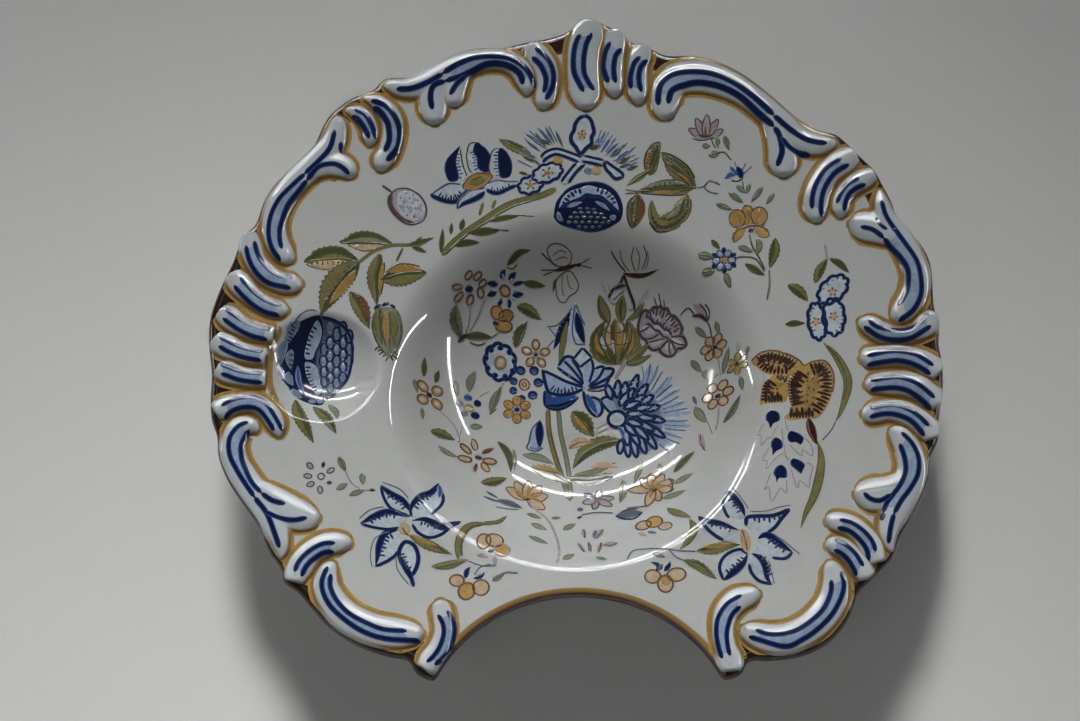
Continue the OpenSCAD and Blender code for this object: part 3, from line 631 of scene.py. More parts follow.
cobalt comb 0.5 3 19 -3 21.4 -9 23 5 2.6
peach fill 6 19 5.2 14 6 9.4 8 7.4 9.6 11 9 16
russet line 0.35 6 18.6 7.4 14 8 8.4
slate line 0.25 2.4 40 6.6 33.6 9.4 28.6
/ 0.25 10 27.4 17 27.4 23 29.2 28.6 30
/ 0.25 19.6 16.6 25 12.4 29.4 8 31.6 6
/ 0.25 17.4 3.6 18.4 -2 19.6 -8
olive leaf 2.6 -14.6 8.6 -7 9.4 -1 11 5 11.4
ochre leaf 1.2 -12 10.4 -5 11.2 2 12
olive leaf 2.2 -20.6 4.4 -14 1.4 -6.2 -5
green line 0.4 -19 3.6 -13 0.4 -7 -4.4
olive leaf 2 -17 25.4 -15.4 20 -18 14 -22 9.6
/ 1.9 -26.4 36 -23 32 -16.4 26.4
slate line 0.35 -15 8.4 -23 9 -29 10 -36 10.6 -43 10 -46 5
/ 0.3 -27 9.6 -24 6 -20 4
sage leaf 1.2 -34.6 8 -28.6 5.8
# Pansies at the lower right
at 32 -97
peach disc 2.4 3.6 3.6 3.2 0
/ 13 4.4 4.2 3.2 10
/ 8 0 3.4 4 0
straw disc 8.4 2 2.2 2.8 0
russet ring 0.4 2.4 3.6 3.6 3.2 0
/ 0.4 13 4.4 4.2 3.2 10
/ 0.45 8 0 3.4 4 0
cobalt leaf 1 4 6 5 9 1.6 10.6
/ 1.2 7.6 6 9.4 8.4 10.6 11
slate leaf 1.2 5 6.4 7 9.6
peach disc -0.6 34 3.6 3 20
straw disc 4.4 35.2 3.6 3.8 0
peach disc 9 31 3 2.6 0
russet ring 0.4 -0.6 34 3.6 3 20
/ 0.4 4.4 35.2 3.6 3.8 0
slate ring 0.35 9 31 3 2.6 0
mauve leaf 1.2 -3 29 0.4 26
slate leaf 1.1 1 29 5 27
# Lily at the lower left
at -82 -91
milk fill -6.5 41 -5.5 36 -2.5 30.5 2 28 7 26.2 7.5 29 3 34 -2 37
/ 19 45 16.5 39.5 11.5 36 7.5 31 7 27 12 26 17 28 20.5 32.5 21.5 38
/ 29.5 24.5 22 21.5 17 23 13 26 8 26.5 8 23 10.5 18.5 15.5 16 21 17.5 26 22
/ 9 -7.5 6.5 0 3.5 4 2.5 9 5 14 9.5 11.5 11.2 6.5 10.5 2
/ -8 1.5 -7 7 -6.5 12 -4 17.5 1 19.5 3 15 0.5 7 -3 4
/ -15 22 -9.5 26 -4 28.5 1 27.5 6 26 3 22 -3 20 -10 20.5
cobalt leaf 1.7 -6.8 41.4 -2 37 3 34 6.5 30 8 25.6
cobalt line 0.75 -6.5 41 -5.5 36 -2.5 30.5 2 28 7 26.2
cobalt comb 0.5 -4 38 3 33.4 6.4 29.4 5 -2.8
cobalt leaf 1.7 19.2 46 16.2 39.5 11.2 36 7.5 31 7 26
cobalt line 0.75 19 45 21.5 38 20.5 32.5 16.6 27.4
cobalt comb 0.5 7.4 30 11.4 35.4 16.4 39 6 -3
blue leaf 1.4 19.4 45 20 41 19.6 37
cobalt leaf 1.9 30 25.2 22 21.5 17 23.4 13 25 8 24
cobalt line 0.8 29.5 24.5 26 22 21 17.5 15.5 16 10.5 18.5 8 22.4
cobalt comb 0.5 11 24.4 17 22.8 23 21.4 7 -2.4
cobalt line 1 9.4 -8 7.4 -2 3.6 3.6 2.4 9 5 13.6 9 12 11 7 10.6 2 8.4 -3
cobalt leaf 1.5 2.8 7 5 2 7.8 -3 9.4 -8
cobalt comb 0.5 7 -1 4.2 3.6 3 9 6 -2.6
cobalt leaf 1.7 1.6 19.4 -4 17.5 -6.5 12 -7.2 6 -8 1.2
cobalt line 0.8 -8 1.5 -3 4 0.8 7 1.2 9
cobalt comb 0.5 0 18.4 -4 16 -6 11 -6.8 5 7 3
cobalt leaf 1.7 -15.4 22 -9.5 25.6 -4 28 1 27.4 6 25.8
cobalt line 0.7 -15 22 -10 20.5 -3 19.6 2 20.6
cobalt comb 0.5 2 27 -4 27.6 -9 25.4 -12.6 23 7 2.6
peach disc 4.6 20 2.6 3 20
russet line 0.35 3.4 21 5 18 7 16.4
slate line 0.25 -6 42.6 2 39.4 6 35
/ 0.25 -16 24.4 -11 29 -5 30.6
/ 0.25 -2 18.6 -8.6 15 -10.4 7 -9.4 1
/ 0.25 1 7 2 0 7 -7
olive leaf 2.4 7 16.6 15 12.6 26 8
ochre leaf 1 7 17.6 13 14.4 20 11.6
olive leaf 2 29 5 29 13 32 21 37 25.4 44 26.4
green line 0.5 30.6 7 30.6 14 33.6 21.6 39 25.2
olive leaf 1.3 40 27.4 46 29 50.4 34.4
/ 2 17 2 24 2.6 33.4 5.6
green line 0.4 19 1.6 25 3 32 5
slate line 0.3 33.4 5 40 2.6 46 3
# Pansies at the lower left
at -46 -97
peach disc 4.4 21.4 3 4.4 -10
/ 9.2 22.6 3.8 4 0
straw disc 12.6 17.2 3.6 3.6 0
russet ring 0.4 4.4 21.4 3 4.4 -10
/ 0.45 9.2 22.6 3.8 4 0
mauve ring 0.45 12.6 17.2 3.6 3.6 0
brown disc 7.6 16 1.4 1 0
mauve leaf 1.2 1.4 14 7 13
/ 1.1 9.4 14 9.6 8.4
peach disc -7.4 1.4 3.2 2.8 0
straw disc -3 -3.6 3.6 4.2 -20
peach disc 3.4 -1.8 3.6 3.8 0
russet ring 0.45 -7.4 1.4 3.2 2.8 0
/ 0.45 -3 -3.6 3.6 4.2 -20
/ 0.4 3.4 -1.8 3.6 3.8 0
cobalt leaf 1.3 -3.6 2.4 -3 6 -1.4 8
/ 1.1 0 2.6 3 3.4 5 5.6
slate line 0.35 0.4 4 3 8 8 9.6
sage leaf 1.3 8.4 1.4 14 5
slate line 0.5 9 2 14 5.4 20 5.2
# Small purple flower and sprig at the lower left
at -112 -53
mauve disc -9 11.6 1.8 1.2 -50
purple disc -3 12.4 0.9 1.9 -10
mauve disc 0.4 9.6 1.9 1.1 35
/ -9.8 6.6 1.9 1.1 -10
/ -8.4 2.6 1.8 1.2 25
/ -4 0 1.1 1.9 10
purple disc 0 3.6 1.3 1.1 0
purple ring 0.35 -9 11.6 1.8 1.2 -50
/ 0.35 0.4 9.6 1.9 1.1 35
/ 0.35 -9.8 6.6 1.9 1.1 -10
/ 0.35 -8.4 2.6 1.8 1.2 25
/ 0.35 -4 0 1.1 1.9 10
/ 0.35 -3.8 6.6 1.5 1.5 0
sage leaf 1.6 3.6 16.6 7.4 9
/ 1.5 14.6 9 15.4 3
/ 1.5 3.2 0.4 8.4 3.4
/ 1.4 9 -2.4 16.4 0.6
green line 0.35 4 16 7.2 9.6
mauve line 0.35 7 10 9.6 4.6 14.4 1 20 0.6
brown disc 19.6 0.6 1.5 0.8 0
# Leaves and bud above the soap hollow
at -96 13
olive leaf 4.4 -31.4 47.6 -23 51 -14 52 -5 48.5
peach leaf 2.2 -28 46.4 -20 46.6 -10 48.4
russet line 0.3 -30.6 46.6 -24 44.2 -16 44.6 -9 47.4
brown comb 0.3 -30 48.4 -23 48.6 -14 49 -8 48.6 8 -2.6
green line 0.4 -30 48 -21 49.4 -13 50 -6 48.6
olive leaf 6.2 -5.4 49 -11 43.6 -17.4 35 -22.6 21.6
ochre leaf 2.2 -7 44.4 -11.6 37 -19 26.6
brown line 0.35 -6.4 47.6 -12 41.6 -17.6 33.4 -21.6 24
brown comb 0.3 -7 47 -12 41 -17 33.6 -21 25.4 8 -3
olive leaf 3.8 -9.6 33.6 -4.6 26.4 0 15
russet leaf 1.7 -5.6 32.6 -2.4 26.6 -0.4 18
brown comb 0.35 -7 32 -3.4 26 -0.8 18 6 2.4
green line 0.5 -8.6 32 -4.4 25.6 -1 17.4
olive leaf 3.7 4.4 53.6 2 42 3.2 27
ochre leaf 1.2 6 49 5 41 4.6 32
green line 0.4 4 50.6 2 41 3 29.6
brown line 0.3 6.4 49 6.4 41 5 32
sage leaf 3.4 -15 58.4 -5 61 3 60.4 11 57.6
peach leaf 1.8 -9 56.4 -2 55.8 6 57.4
russet line 0.3 -11 57 -3 54.4 5 56.6
green line 0.5 -14.6 58 -5 58.6 3 58.4 10 57.6
olive line 0.8 -6 48 1 54 9 57.4 17 58 24 58.4
green leaf 1.4 17 58 23 59.6 29.6 62.4
/ 1 21 58.6 23.6 62.6
/ 1.3 19 57.4 26 54.6
green line 0.6 15 56.6 12 49.6
olive leaf 5.4 5 40 15 42.6 26.2 44.4
ochre leaf 2.2 8 44.2 16 45.8 24.4 45.4
russet line 0.35 6 43 14 48.4 23 47.4
green line 0.5 7 40.6 15 43.6 24.6 44.4
sage fill 3 25 1 17 3 9 7 3.6 9.6 1.4 14 8 15.4 17 12.4 25
olive leaf 2.2 4.6 26 4.4 17 6 7
/ 1.8 10 25 11.4 17 11.4 8
ochre leaf 1.2 7.2 25 7.6 17 8.4 7
green line 0.4 2.8 24 1.6 16 4 8 7 3.4
/ 0.35 6.4 23 6 15 8 6
/ 0.35 9 23 9.6 15 9.6 5
/ 0.4 12.4 24 14.8 16 13.4 8 10 1.6
brown comb 0.35 4 7.6 7 3.6 9.8 1.2 12.6 5.6 8 -2.6
cobalt line 0.8 2 25 5 27.4
/ 0.8 5.4 26.8 9 28.4
/ 0.7 9.4 27.6 12 26
# Berry at the upper left
at -83 83
mauve fill -3 15.4 3 17 9 14 12.5 8 12 2 8 -1 3 -0.5 -2 4 -4.5 9
milk fill -1 14 3.4 15.8 8.6 13 11.6 8 11.2 3 7.6 0.4 3 1.6 -0.6 6
mauve dots 1.2 1.2 7 11.4 2.6 11 9 7 5 6.6 7.4 3 1.4 7.4
purple dots 0.45 0.45 3 14.4 6.4 13.6 0.4 12 4.6 12 8.6 11 2 9.6 6 9.6 10 8.4 0 8 3.6 7.4 7.4 7 10.4 5.6 2
5.4 5.4 5 8.8 4 3.6 3.2 6.8 2.4 9.6 2
purple line 1.5 -4 14.4 -4.6 9 -2 4 2.6 0 7.6 -1.2
purple loop 0.5 -3 15.4 3 17 9 14 12.5 8 12 2 8 -1 3 -0.5 -2 4 -4.5 9
purple line 0.7 -8.6 18.2 -3.4 14.4
"""

# Peony in the soap hollow
SOAP_PAINT = """
# Peony and its leaves
at -127 3
ochre line 1.6 -10.2 24.5 -12.8 18 -14.4 11 -14.8 5 -14.4 -2 -12.8 -8 -10 -14
slate fill 7.2 31.4 13.5 30 18.3 27.6 22 23 23.3 17.6 23 11 21.1 3.1 17.8 -1.9 14 -6.2 7 -11.2 6 -3 4 3 3
9 3 15 3.5 21 5 27
cobalt fill 7.2 31.2 1 29.4 -4.5 25.8 -8.5 19.5 -11.2 11 -11.2 3.5 -6.5 -2.5 -2 -8.2 6.7 -11.4 10.6 -10
9.4 -3 8 3 6.4 9 6.4 15 8.6 21 9.4 27
haze leaf 1.9 -7.4 20 -9.6 14 -9.8 8
/ 1.7 -9.8 7 -9.8 4 -7.6 0.4
/ 1.8 -5 16 -6.2 11.4 -5.4 6.6
/ 1.9 -6.4 5.2 -6 1.4 -4 -1.4
/ 1.8 -4.2 -3.2 -2.6 -6 0.4 -7.8
/ 2.2 -1.4 28.4 -5.4 24 -6.8 18.4
haze dots 1.7 1.2 5 -9.2 8.8 -9
blue leaf 1.3 -2.4 9 -1.6 1 1.4 -5.6
slate line 0.35 -4.4 26.6 -1 31 3 33.4 6.4 33
cobalt comb 0.45 -2.6 26.6 -4.4 22.6 -5 18 5 -2.6
/ 0.4 -3.8 15.6 -4.4 11 -4 6 -3 0 6 -2
wash fill 6.7 29.4 4.5 27 2.8 23.5 1.4 19 0.6 15 1.2 12.6 4.2 13 5.4 16.6 7.4 20.5 8.6 25.5
/ 1.2 11.4 1 8 1.8 4.5 3.8 0 5.4 -3.5 7.6 -5.6 9.1 -2.5 8.6 1 7.4 5 6 9.6
cobalt comb 0.5 5.2 28.8 2.8 24 1.2 19 0.6 13.4 7 2.5
/ 0.5 1 10.6 1.4 5 3.6 0 6.2 -5 8 2.7
haze dots 1.6 2.4 9.8 17.6 9.4 12.4 10 7.2 10.4 2 12.6 26.6 12.4 20.4 12.4 15 12.6 9.6 12.8 4.2 13 -1.2
15.6 24 15.6 17.6 15.6 12.2 15.8 6.8 16 1.4 18.6 26 18.8 20.6 18.8 15 18.8 9.4 18.6 4 21.2 22.8 21.6 17.4
21.4 12 20.8 6.8
wash dots 0.8 1.5 9.4 12.6 12.2 20.8 12.2 15.2 12.4 9.8 12.6 4.4 15.4 17.8 15.6 7 18.6 15.2 18.6 9.6 9.8
7.6 18.6 20.6
cobalt beads 0.5 1.85 2.8 9.8 17.6 9.4 12.4 10 7.2 10.4 2 12.4 20.4 12.4 15 12.6 9.6 12.8 4.2 13 -1.2 15.6
24 15.6 17.6 15.6 12.2 15.8 6.8 16 1.4 18.6 26 18.8 20.6 18.8 15 18.8 9.4 18.6 4 21.4 22.6 21.6 17.4 21.4
12
cobalt line 0.7 9 30.6 13.5 29.8 18.3 27.4 21.8 23 23 17.6 22.7 11 21 3.2 17.6 -1.7 14 -6 11 -7.4
olive leaf 3.1 -2.6 -9.4 0 -19 7.2 -33
green line 0.5 -1.6 -11 1 -20 6.6 -31
sage leaf 2.8 5.6 -12.6 11 -18 17.4 -28
olive leaf 1.4 6 -13 10.6 -18.4 15.4 -24.6
sage leaf 1.6 12.6 -11 16.6 -16 17.6 -21
"""

# Flowers in the well
WELL_PAINT = """
# Moth at the top
at -11 65
brown loop 0.24 -1.4 8 -1.4 10.4 1.6 12 6 11.4 9.6 9 9.4 5.4 6 4 2 4.6
/ 0.24 2.8 -1 2.8 -6.6 4.4 -9.6 7 -9.8 9 -7.4 12 -5.8 13.4 -3 11 1 8 2.4
russet line 0.2 0.6 7.4 4 9.6 7.6 9
/ 0.2 2 6 5.6 7.4 8.4 6.8
/ 0.2 5.6 1 5.4 -4.6 6.6 -7.6
/ 0.2 7.6 1 9 -3.6 10.6 -4.4
brown leaf 0.9 1 2.2 7 3.4 14.6 5.2
brown disc 13.6 4.6 1.2 0.8 15
brown line 0.22 14.6 5.2 19 7
/ 0.22 14.6 4.4 20 3.2
/ 0.25 -5 2.2 2 2.6
/ 0.22 -4 0.2 1 2
/ 0.35 -4.6 8.4 -1 6.2 2.6 4
russet leaf 0.7 2.2 -0.4 1 -6
# Moth at the top right
at 26 65
brown leaf 1 -2.4 0.4 2 -1 8 -1.8 14.4 -0.8
brown line 0.3 -1 0.6 -5 4.6 -8.4 9
russet line 0.22 0.6 0.6 -3 5 -4 9
brown line 0.22 3.6 0 1.6 5 2.6 9.4
russet line 0.22 4.6 0 5.4 5 3.6 9
brown line 0.22 6.4 0 8.6 5 7 9.4
russet line 0.2 8 0 9.4 3.4 9 7
# Daisies and leaves at the top left
at -57 33
green leaf 1.5 25 34 28 37 31 39.4 36.4 41
green line 0.3 24.6 33.6 27.6 33.2 30 35.4
cobalt leaf 1.3 21.8 28.8 24.2 32.6
/ 1.3 25.6 28.8 29.4 32.2
/ 0.9 27.6 27.2 33.4 29.2
/ 1.3 27.4 23 33 24.4
/ 1.2 26 21.6 26 17.6
/ 1.2 22.2 21.4 20.8 17.6
/ 1.3 20 23.4 15.4 21
/ 1.3 20.6 26.4 15.4 25.8
wash petals 24 24.6 8 5 1.4 0.55 10
peach disc 24 24.4 2.4 2.1 0
russet ring 0.5 24 24.4 2.4 2.1 0
green leaf 1.6 32.6 28.6 43.4 28.4
/ 2.6 29.6 19 35 18 41.4 14.4
sage leaf 2.5 29 0.6 30.6 7 34.6 13
green line 0.5 29.6 1.6 31.4 7.6 34 12
russet ring 0.4 6.8 27 2.3 1.1 50
/ 0.4 11 27.6 2.5 1.1 45
/ 0.4 13.4 25.4 2.2 1.1 40
/ 0.45 12.4 21.6 1.5 2 0
/ 0.45 7.4 17.6 2.3 1.3 60
/ 0.4 2 17.4 3 1 50
/ 0.4 1.4 21.2 2.6 1 20
cobalt disc 7 21.8 2.1 1.4 30
straw disc 20.2 15 3 2.8 0
ochre disc 24.4 14.4 3.6 2.4 20
straw disc 23.4 9.8 4 2.6 10
russet ring 0.35 20.2 15 3 2.8 0
/ 0.35 24.4 14.4 3.6 2.4 20
/ 0.35 23.4 9.8 4 2.6 10
purple disc 19.6 10.4 1.6 1.6 0
sage leaf 2.9 3 1 0.6 7 1 14.4
green leaf 1.3 3 2 0.4 7 0.6 13
/ 1.8 5 1.6 11 3.6 18 4
green line 0.35 7 0 11 -0.6 14.6 1.4
brown leaf 0.9 1.6 -1.4 4 1.4 6.4 3.4
mauve line 0.3 5 3 6.8 9 7.4 16
/ 0.3 7 5 10.5 11 13 17 15 21
/ 0.3 17 3.8 21 7
# Blue rosette
at -36 24
milk disc 0.7 2 7 8.4 0
cobalt frill 0.95 0.7 2 7.6 8.9 0 9 0.1
cobalt petals 0.7 2 9 6.7 1.2 1.6 10
straw disc 0.8 1.8 2.5 3.1 -20
milk disc 0.8 1.8 1.5 2 -20
russet ring 0.3 0.8 1.8 2.7 3.3 -20
# Small daisies beside the bouquet
at -33 8
straw petals 14.8 23.2 5 4.6 2.3 1.7 90
glaze petals 14.8 23.2 5 4.6 1.4 1 90
russet daisy 0.3 14.8 23.2 5 4.6 2.5 1.9 90
mauve disc 14.8 23.2 2 2 0
cobalt disc 14.8 23.2 1 1 0
blue dots 2 1.9 7.5 15 14 15.3 16 9.5 13.3 3
blue dots 1.5 1.6 8 1 4 4.8 4.2 9.5
cobalt beads 0.65 1.8 1.7 7.5 15 14 15.3 16 9.5 13.3 3
cobalt beads 0.6 1.4 1.45 8 1 4 4.8 4.2 9.5
peach disc 9.3 8.2 2.4 2.8 0
russet ring 0.4 9.3 8.2 2.4 2.8 0
/ 0.3 9.3 8.2 1 1.1 0
straw petals 5.8 -4.7 6 4.6 2.4 2 90
ochre petals 5.8 -4.7 6 5.4 1.1 1.4 90
russet daisy 0.3 5.8 -4.7 6 4.6 2.5 2.1 90
mauve disc 5.8 -4.7 2 2 0
cobalt disc 5.8 -4.7 1.3 1.3 0
sage leaf 2 -7 -7.6 -5 -1 -1.4 7
green line 0.5 -6.6 -7 -4.2 -0.6 -1.8 6
brown line 0.4 -7.4 -8.4 -4 -5
mauve line 0.3 -1.4 7 0 9.4
# Wreath at the left
at -59 -30
straw petals -9 32.6 4 4.6 2.6 2.2 45
glaze petals -9 32.6 4 4.8 1.4 1.2 45
russet daisy 0.35 -9 32.6 4 4.6 2.7 2.3 45
brown disc -9.4 32.6 1.4 1.5 0
green leaf 1.4 -12 40.6 -11.5 50
/ 1.3 -6.6 39.6 -5.2 46.4
sage leaf 1.1 -16.4 38 -14.6 31.6
/ 1 -12.4 25 -12 19
mauve line 0.3 -5 26.6 -1 24 2 21 4 17 5 12
/ 0.3 6 22 5 17 4 12
blue disc 8.6 36.4 2.1 1.9 0
cobalt disc 13 34.4 1.9 1.8 0
/ 12 28 2.2 2 0
slate disc 4.6 33 1.9 2 0
/ 7 28 1.7 1.6 0
straw ring 0.5 8.8 31.2 2 1.6 20
sage leaf 2 9 39.6 9.4 44 12 50.4
/ 1.5 2.6 43.4 3.6 36
mauve line 0.3 14 38 16 40 18.4 41.4
green leaf 2.6 -8.4 14 -3 14.4 2.6 13
sage leaf 1.5 -4.6 7.2 -1 5 4 3.8
/ 1.6 9.4 21.6 15.6 23
peach disc 11.7 12.5 1.4 3 15
/ 19 4.7 3.2 1.6 0
/ 17 1 2.8 1.5 -55
/ 7.5 3.7 3.2 1.6 0
/ 7.7 9.4 3.2 1.4 -40
russet ring 0.35 11.7 12.5 1.4 3 15
russet leaf 1.2 15 8.4 21 12
russet ring 0.4 19 4.7 3.2 1.6 0
/ 0.35 17 1 2.8 1.5 -55
russet leaf 0.9 13 2.4 12 -3
russet ring 0.4 7.5 3.7 3.2 1.6 0
/ 0.4 7.7 9.4 3.2 1.4 -40
purple disc 13.7 5.7 1.8 1.6 0
green leaf 1.9 22.6 16 26.4 12 28.6 7 29 0
sage leaf 0.8 30 13 31 7 30.6 1
green leaf 2.5 15 -8.4 21 -6.6 27 -3.6
# Flowers at the foot of the well
at -31 -81
russet plumes 0.3 2.6 9 36 -1 42 9 36 3 46 9 36 9.4 47 9 36 15.4 44.4 9 36 18.4 39 9 36 17 31
ochre leaf 1.3 9 36.4 9.4 41 9.6 44.4
/ 1.1 9.4 36.2 13 38.4 16 39.4
/ 1 8.6 36.4 5.4 39.4 3 42
brown disc 9.2 36 1 0.8 0
mauve line 0.6 9 36 13 30 18 25 21 18 23 9 23.5 1 22.5 -5.4
sage leaf 1.3 8.6 27.6 15.6 25
/ 1.7 10.6 21.4 18 17.6
/ 1.6 25.4 18 31.4 22.4
/ 1.6 9.6 12.4 18.4 7.6
/ 1 20 25.4 24.4 26
/ 1.6 25 -3 30.4 0.6
slate leaf 0.8 -10.4 38 -4.6 34.8
/ 0.8 -11.6 34.6 -3.6 32.4
/ 2 -5.4 33.6 1 32.6 6.6 30.4
slate line 0.35 -6 29.4 0 29 5 29.6
purple line 0.4 -4 34 0 32.4 4.4 30.6
purple plumes 0.4 1.6 41.6 36.6 35.4 40.2 41.6 36.6 43 42.2 41.6 36.6 49.6 37.4 41.6 36.6 48.6 32.6 41.6
36.6 40 31 41.6 36.6 34.8 35
blue leaf 1 40.4 37.4 36 39.8
olive disc 41.6 36.6 1.3 1.2 0
sage leaf 2 53.8 47.4 54 41 52.2 34
green line 0.4 53.8 46.4 53.6 41 52.4 35
russet plumes 0.35 2.2 68 40.4 56.2 41.2 68 40.4 62 47.4 68 40.4 67 49.4 68 40.4 73 48 68 40.4 77.4 43.6
68 40.4 77 38 68 40.4 70.6 32.4 68 40.4 64.6 30.4
ochre leaf 1 68 40.4 63.6 45
/ 1 68 40.4 67.4 46
/ 1 68 40.4 72.6 45
/ 1 68 40.4 73.6 40.6
/ 1 68 40.4 66 35
brown disc 68.4 39.4 1.4 0.9 20
purple line 0.4 75 45.4 76.6 42.6 76.4 38.6 74 36.4
russet line 0.3 63 46 66 48.2 70 47.6
green leaf 1.8 77.6 48 82 53 87.4 57.6
sage leaf 1.6 77.2 41.2 86 45.2
/ 1.6 71.6 33.6 77 34.4 82.4 36
/ 1.4 63.6 56 61 50 59 44.6
/ 1.2 71 54.4 71.4 47.6
slate leaf 2.6 50 25.6 56 26.6 62.6 26.6
cobalt line 0.4 50 26.4 53 24 58 23 60.6 24.8 62.4 26.6
purple leaf 0.8 52 28 57 29.4 61 29.6
slate line 0.4 34 27.6 41 29 49 28
/ 0.35 55 30.4 65 30.4
slate disc 33.6 31 1.5 1.2 0
purple disc 33.2 26 1.4 0.8 30
mauve leaf 1.3 35 18.4 35.4 11.6
/ 1.8 44 18 40 11
/ 1.2 32.2 8.4 35 1.6
slate leaf 0.9 37 9 38 1.4
mauve leaf 1.2 43 8.4 41 0.6
/ 2 43.6 6 50.4 7
sage leaf 1 40 -2 45 -3.6
purple line 0.3 35 18 35.4 15 35.4 12
/ 0.3 44 17.6 42.6 15 40.2 11.4
/ 0.3 32.4 8 33.6 5 35 2
/ 0.35 42.8 8 42.4 5 41.2 1
/ 0.3 44 6.4 47 5.6 50 6.8
olive line 0.35 37 2.4 37.4 7
slate leaf 1 40.6 17.4 39.4 11.6
# Wreath at the right
at 59 -17
purple line 0.4 -8.6 61 -5 63.2 -2.6 61 -1 58
mauve leaf 1.4 -2 64 1 60 4 55
purple leaf 1.2 -3 59.4 1 58.4 4.6 54.4
purple line 0.35 0.4 63.6 3.4 59.4 4 55
/ 0.35 3 62.6 5 59 4.4 55
/ 0.35 4.2 55 5.6 51 6 48
sage leaf 1.3 -1.4 54.4 4 48
/ 1.1 7.8 54 9.6 47.6
peach petals 7 43 6 3.2 2.4 2 0
russet daisy 0.35 7 43 6 3.4 2.4 2 0
cobalt disc 7.6 42.8 1.2 1 0
sage leaf 1.5 -3.4 40.4 1.4 33.4
/ 2.1 1.6 33.4 5 31 9 29.6
/ 1.4 11 29.4 12.4 35 13.8 41
mauve line 0.3 9 38 10 29
straw petals 17.4 31.6 6 3 2 1.2 90
olive daisy 0.3 17.4 31.6 6 3 2.1 1.3 90
brown disc 17.4 31.6 1.1 1.1 0
mauve leaf 1 18 37 17.8 42
sage leaf 1 21 34 22.6 39
/ 1.2 18.6 25 19.4 18
peach petals 8.6 20 6 4.6 2.4 2.1 60
russet daisy 0.35 8.6 20 6 4.6 2.4 2.1 60
brown disc 8.6 19.4 1.4 1.2 0
slate leaf 0.9 -2.6 23 -1 18
sage leaf 2.1 -1.8 17.4 0 13 3 7.6
/ 1.7 10.6 4.4 14.6 9 18.4 16
green line 0.4 11 5 14.6 9.4 18 15.4
mauve line 0.4 3 11 5 4 5.6 0.6
/ 0.4 9 14 8.4 7 7 2
mauve leaf 1.4 0.4 3.4 0.6 -2 2.2 -8
purple line 0.35 0.4 2 0.6 -3 2 -7.4
# Bouquet: stems and leaves
at -8 -35
olive line 1.3 -4.4 39 -4 29 -2.4 20 0 11 3 1 5.6 -9
russet line 0.4 -3.6 39 -3.2 29 -1.6 20 0.8 11
sage line 1.2 0.6 39 1.6 27 3.2 19 5 9 6 -1 6.2 -9
olive leaf 1.3 6 1 6 -5 5.8 -10
/ 4.6 7 38 11.6 33 17.4 25
ochre leaf 1.4 8 35.6 12 31.6 16 26.6
green line 0.4 8 37 12.4 32.4 17 25.6
olive leaf 3.8 31 22.6 21 21.4 13 17 7.4 8.4
green line 0.5 30 22.4 21 21 13 16.4 8 9.4
peach leaf 2.4 5.6 18.6 10 22 17 22.4
russet line 0.3 5.6 18.6 9.6 21.6 17 22.6
olive leaf 3.2 -13 8.6 -4 6 5.6 0.4
ochre leaf 1.2 -12 9 -5 8.4 2 5.4
sage leaf 2 -16.6 15 -8 13.6 -1.6 10.4
/ 3.4 5 3 16 2.4 28 4.6
olive leaf 1.6 8 5 17 6.4 28 11
peach leaf 1.6 16 9 22 10 29 8.4
green line 0.4 6 2 16 1.8 26.6 3.6
mauve line 0.3 18.6 28.4 22 31 25.4 33.6
/ 0.3 19.4 26.6 23 28.6 26.6 31
# Bouquet: buds
at -7 36
milk leaf 3.4 8 18.6 3.6 8 0 -4.4
cobalt leaf 2.1 6.4 15.6 2.4 9 -2.6 -2
olive leaf 1.6 4 11 2 2 0 -11
slate line 0.3 7.6 18.6 4 14 0 10 -3 8.6 -6 8.4
/ 0.3 -5 8 -2.6 5.4 -1.6 4
/ 0.3 -2.4 2.6 -6.4 -2
milk leaf 2.9 8 19 8 10 9.6 0
cobalt leaf 2.1 8.4 15 9.8 8 12.4 0.4
blue line 0.4 7.8 18.4 6.8 12 6.4 6 7.8 1
/ 0.5 7.6 0.8 12.8 0.6
slate line 0.3 8 18.6 9.6 15 12.6 9
# Bouquet: blue lily
at -5 8
wash fill -9.6 16 -8.6 9 -7 4 1 3 9 5 11 8 5 9 -3 12
blue fill -9.4 5.6 -8.4 -2 -3 -4 2 -2 7 2.4 2 5.6 -4 2.4
cobalt fill -8.6 -1.6 -3 -3.6 2 -1.8 6.6 2 2 0.6 -4 -1
cobalt line 0.9 -10 16.4 -8.6 9 -6.6 4.6 -1 3.4 5 4.4 9.6 6.6
cobalt comb 0.5 -7.6 7 -4 4.4 2 4.2 8.4 6 8 3.4
cobalt line 0.8 -9.6 15.6 -4 13 2 10 9.6 7.4
/ 0.7 -9 5.6 -8.6 -2 -3 -4.2 2.4 -2.2 7.4 2.4
wash fill -3 18 0.6 22 5 22 8 16 11 9 6 10.6 1 14
cobalt line 0.8 -3 17.4 2 13.6 9.6 8.4
/ 0.8 -2.4 18 1 22.4 4.6 22 8 18.6
/ 0.7 0.4 20.6 5 15.6 10 9
/ 0.7 4 21.6 7.6 16 10.6 9.4
wash fill 13.4 21.8 15 16 23 16.4 24 14 18 10 11 8 9.4 14 10 18
cobalt line 0.7 13.6 21.4 14.4 16.6 12.4 9.6
/ 0.7 15 16.6 19.4 17.4 17 12 12.4 8.4
/ 0.8 19.4 16.6 24 16 22.6 12.6 17 9.4 12 7.6
/ 0.7 22.4 12.6 20 8.4 12 6.4
wash fill 10 5.4 13 2.6 17 0.6 18.6 -5 16 -7.6 13 -5.6 10.4 -1
blue leaf 2 11 4 13.6 -1.6 16.4 -6.6
cobalt line 0.8 9.6 5.6 10.6 -1 13.4 -6 16.4 -7.6 18.6 -4.6 17.4 0.4 13 2.6
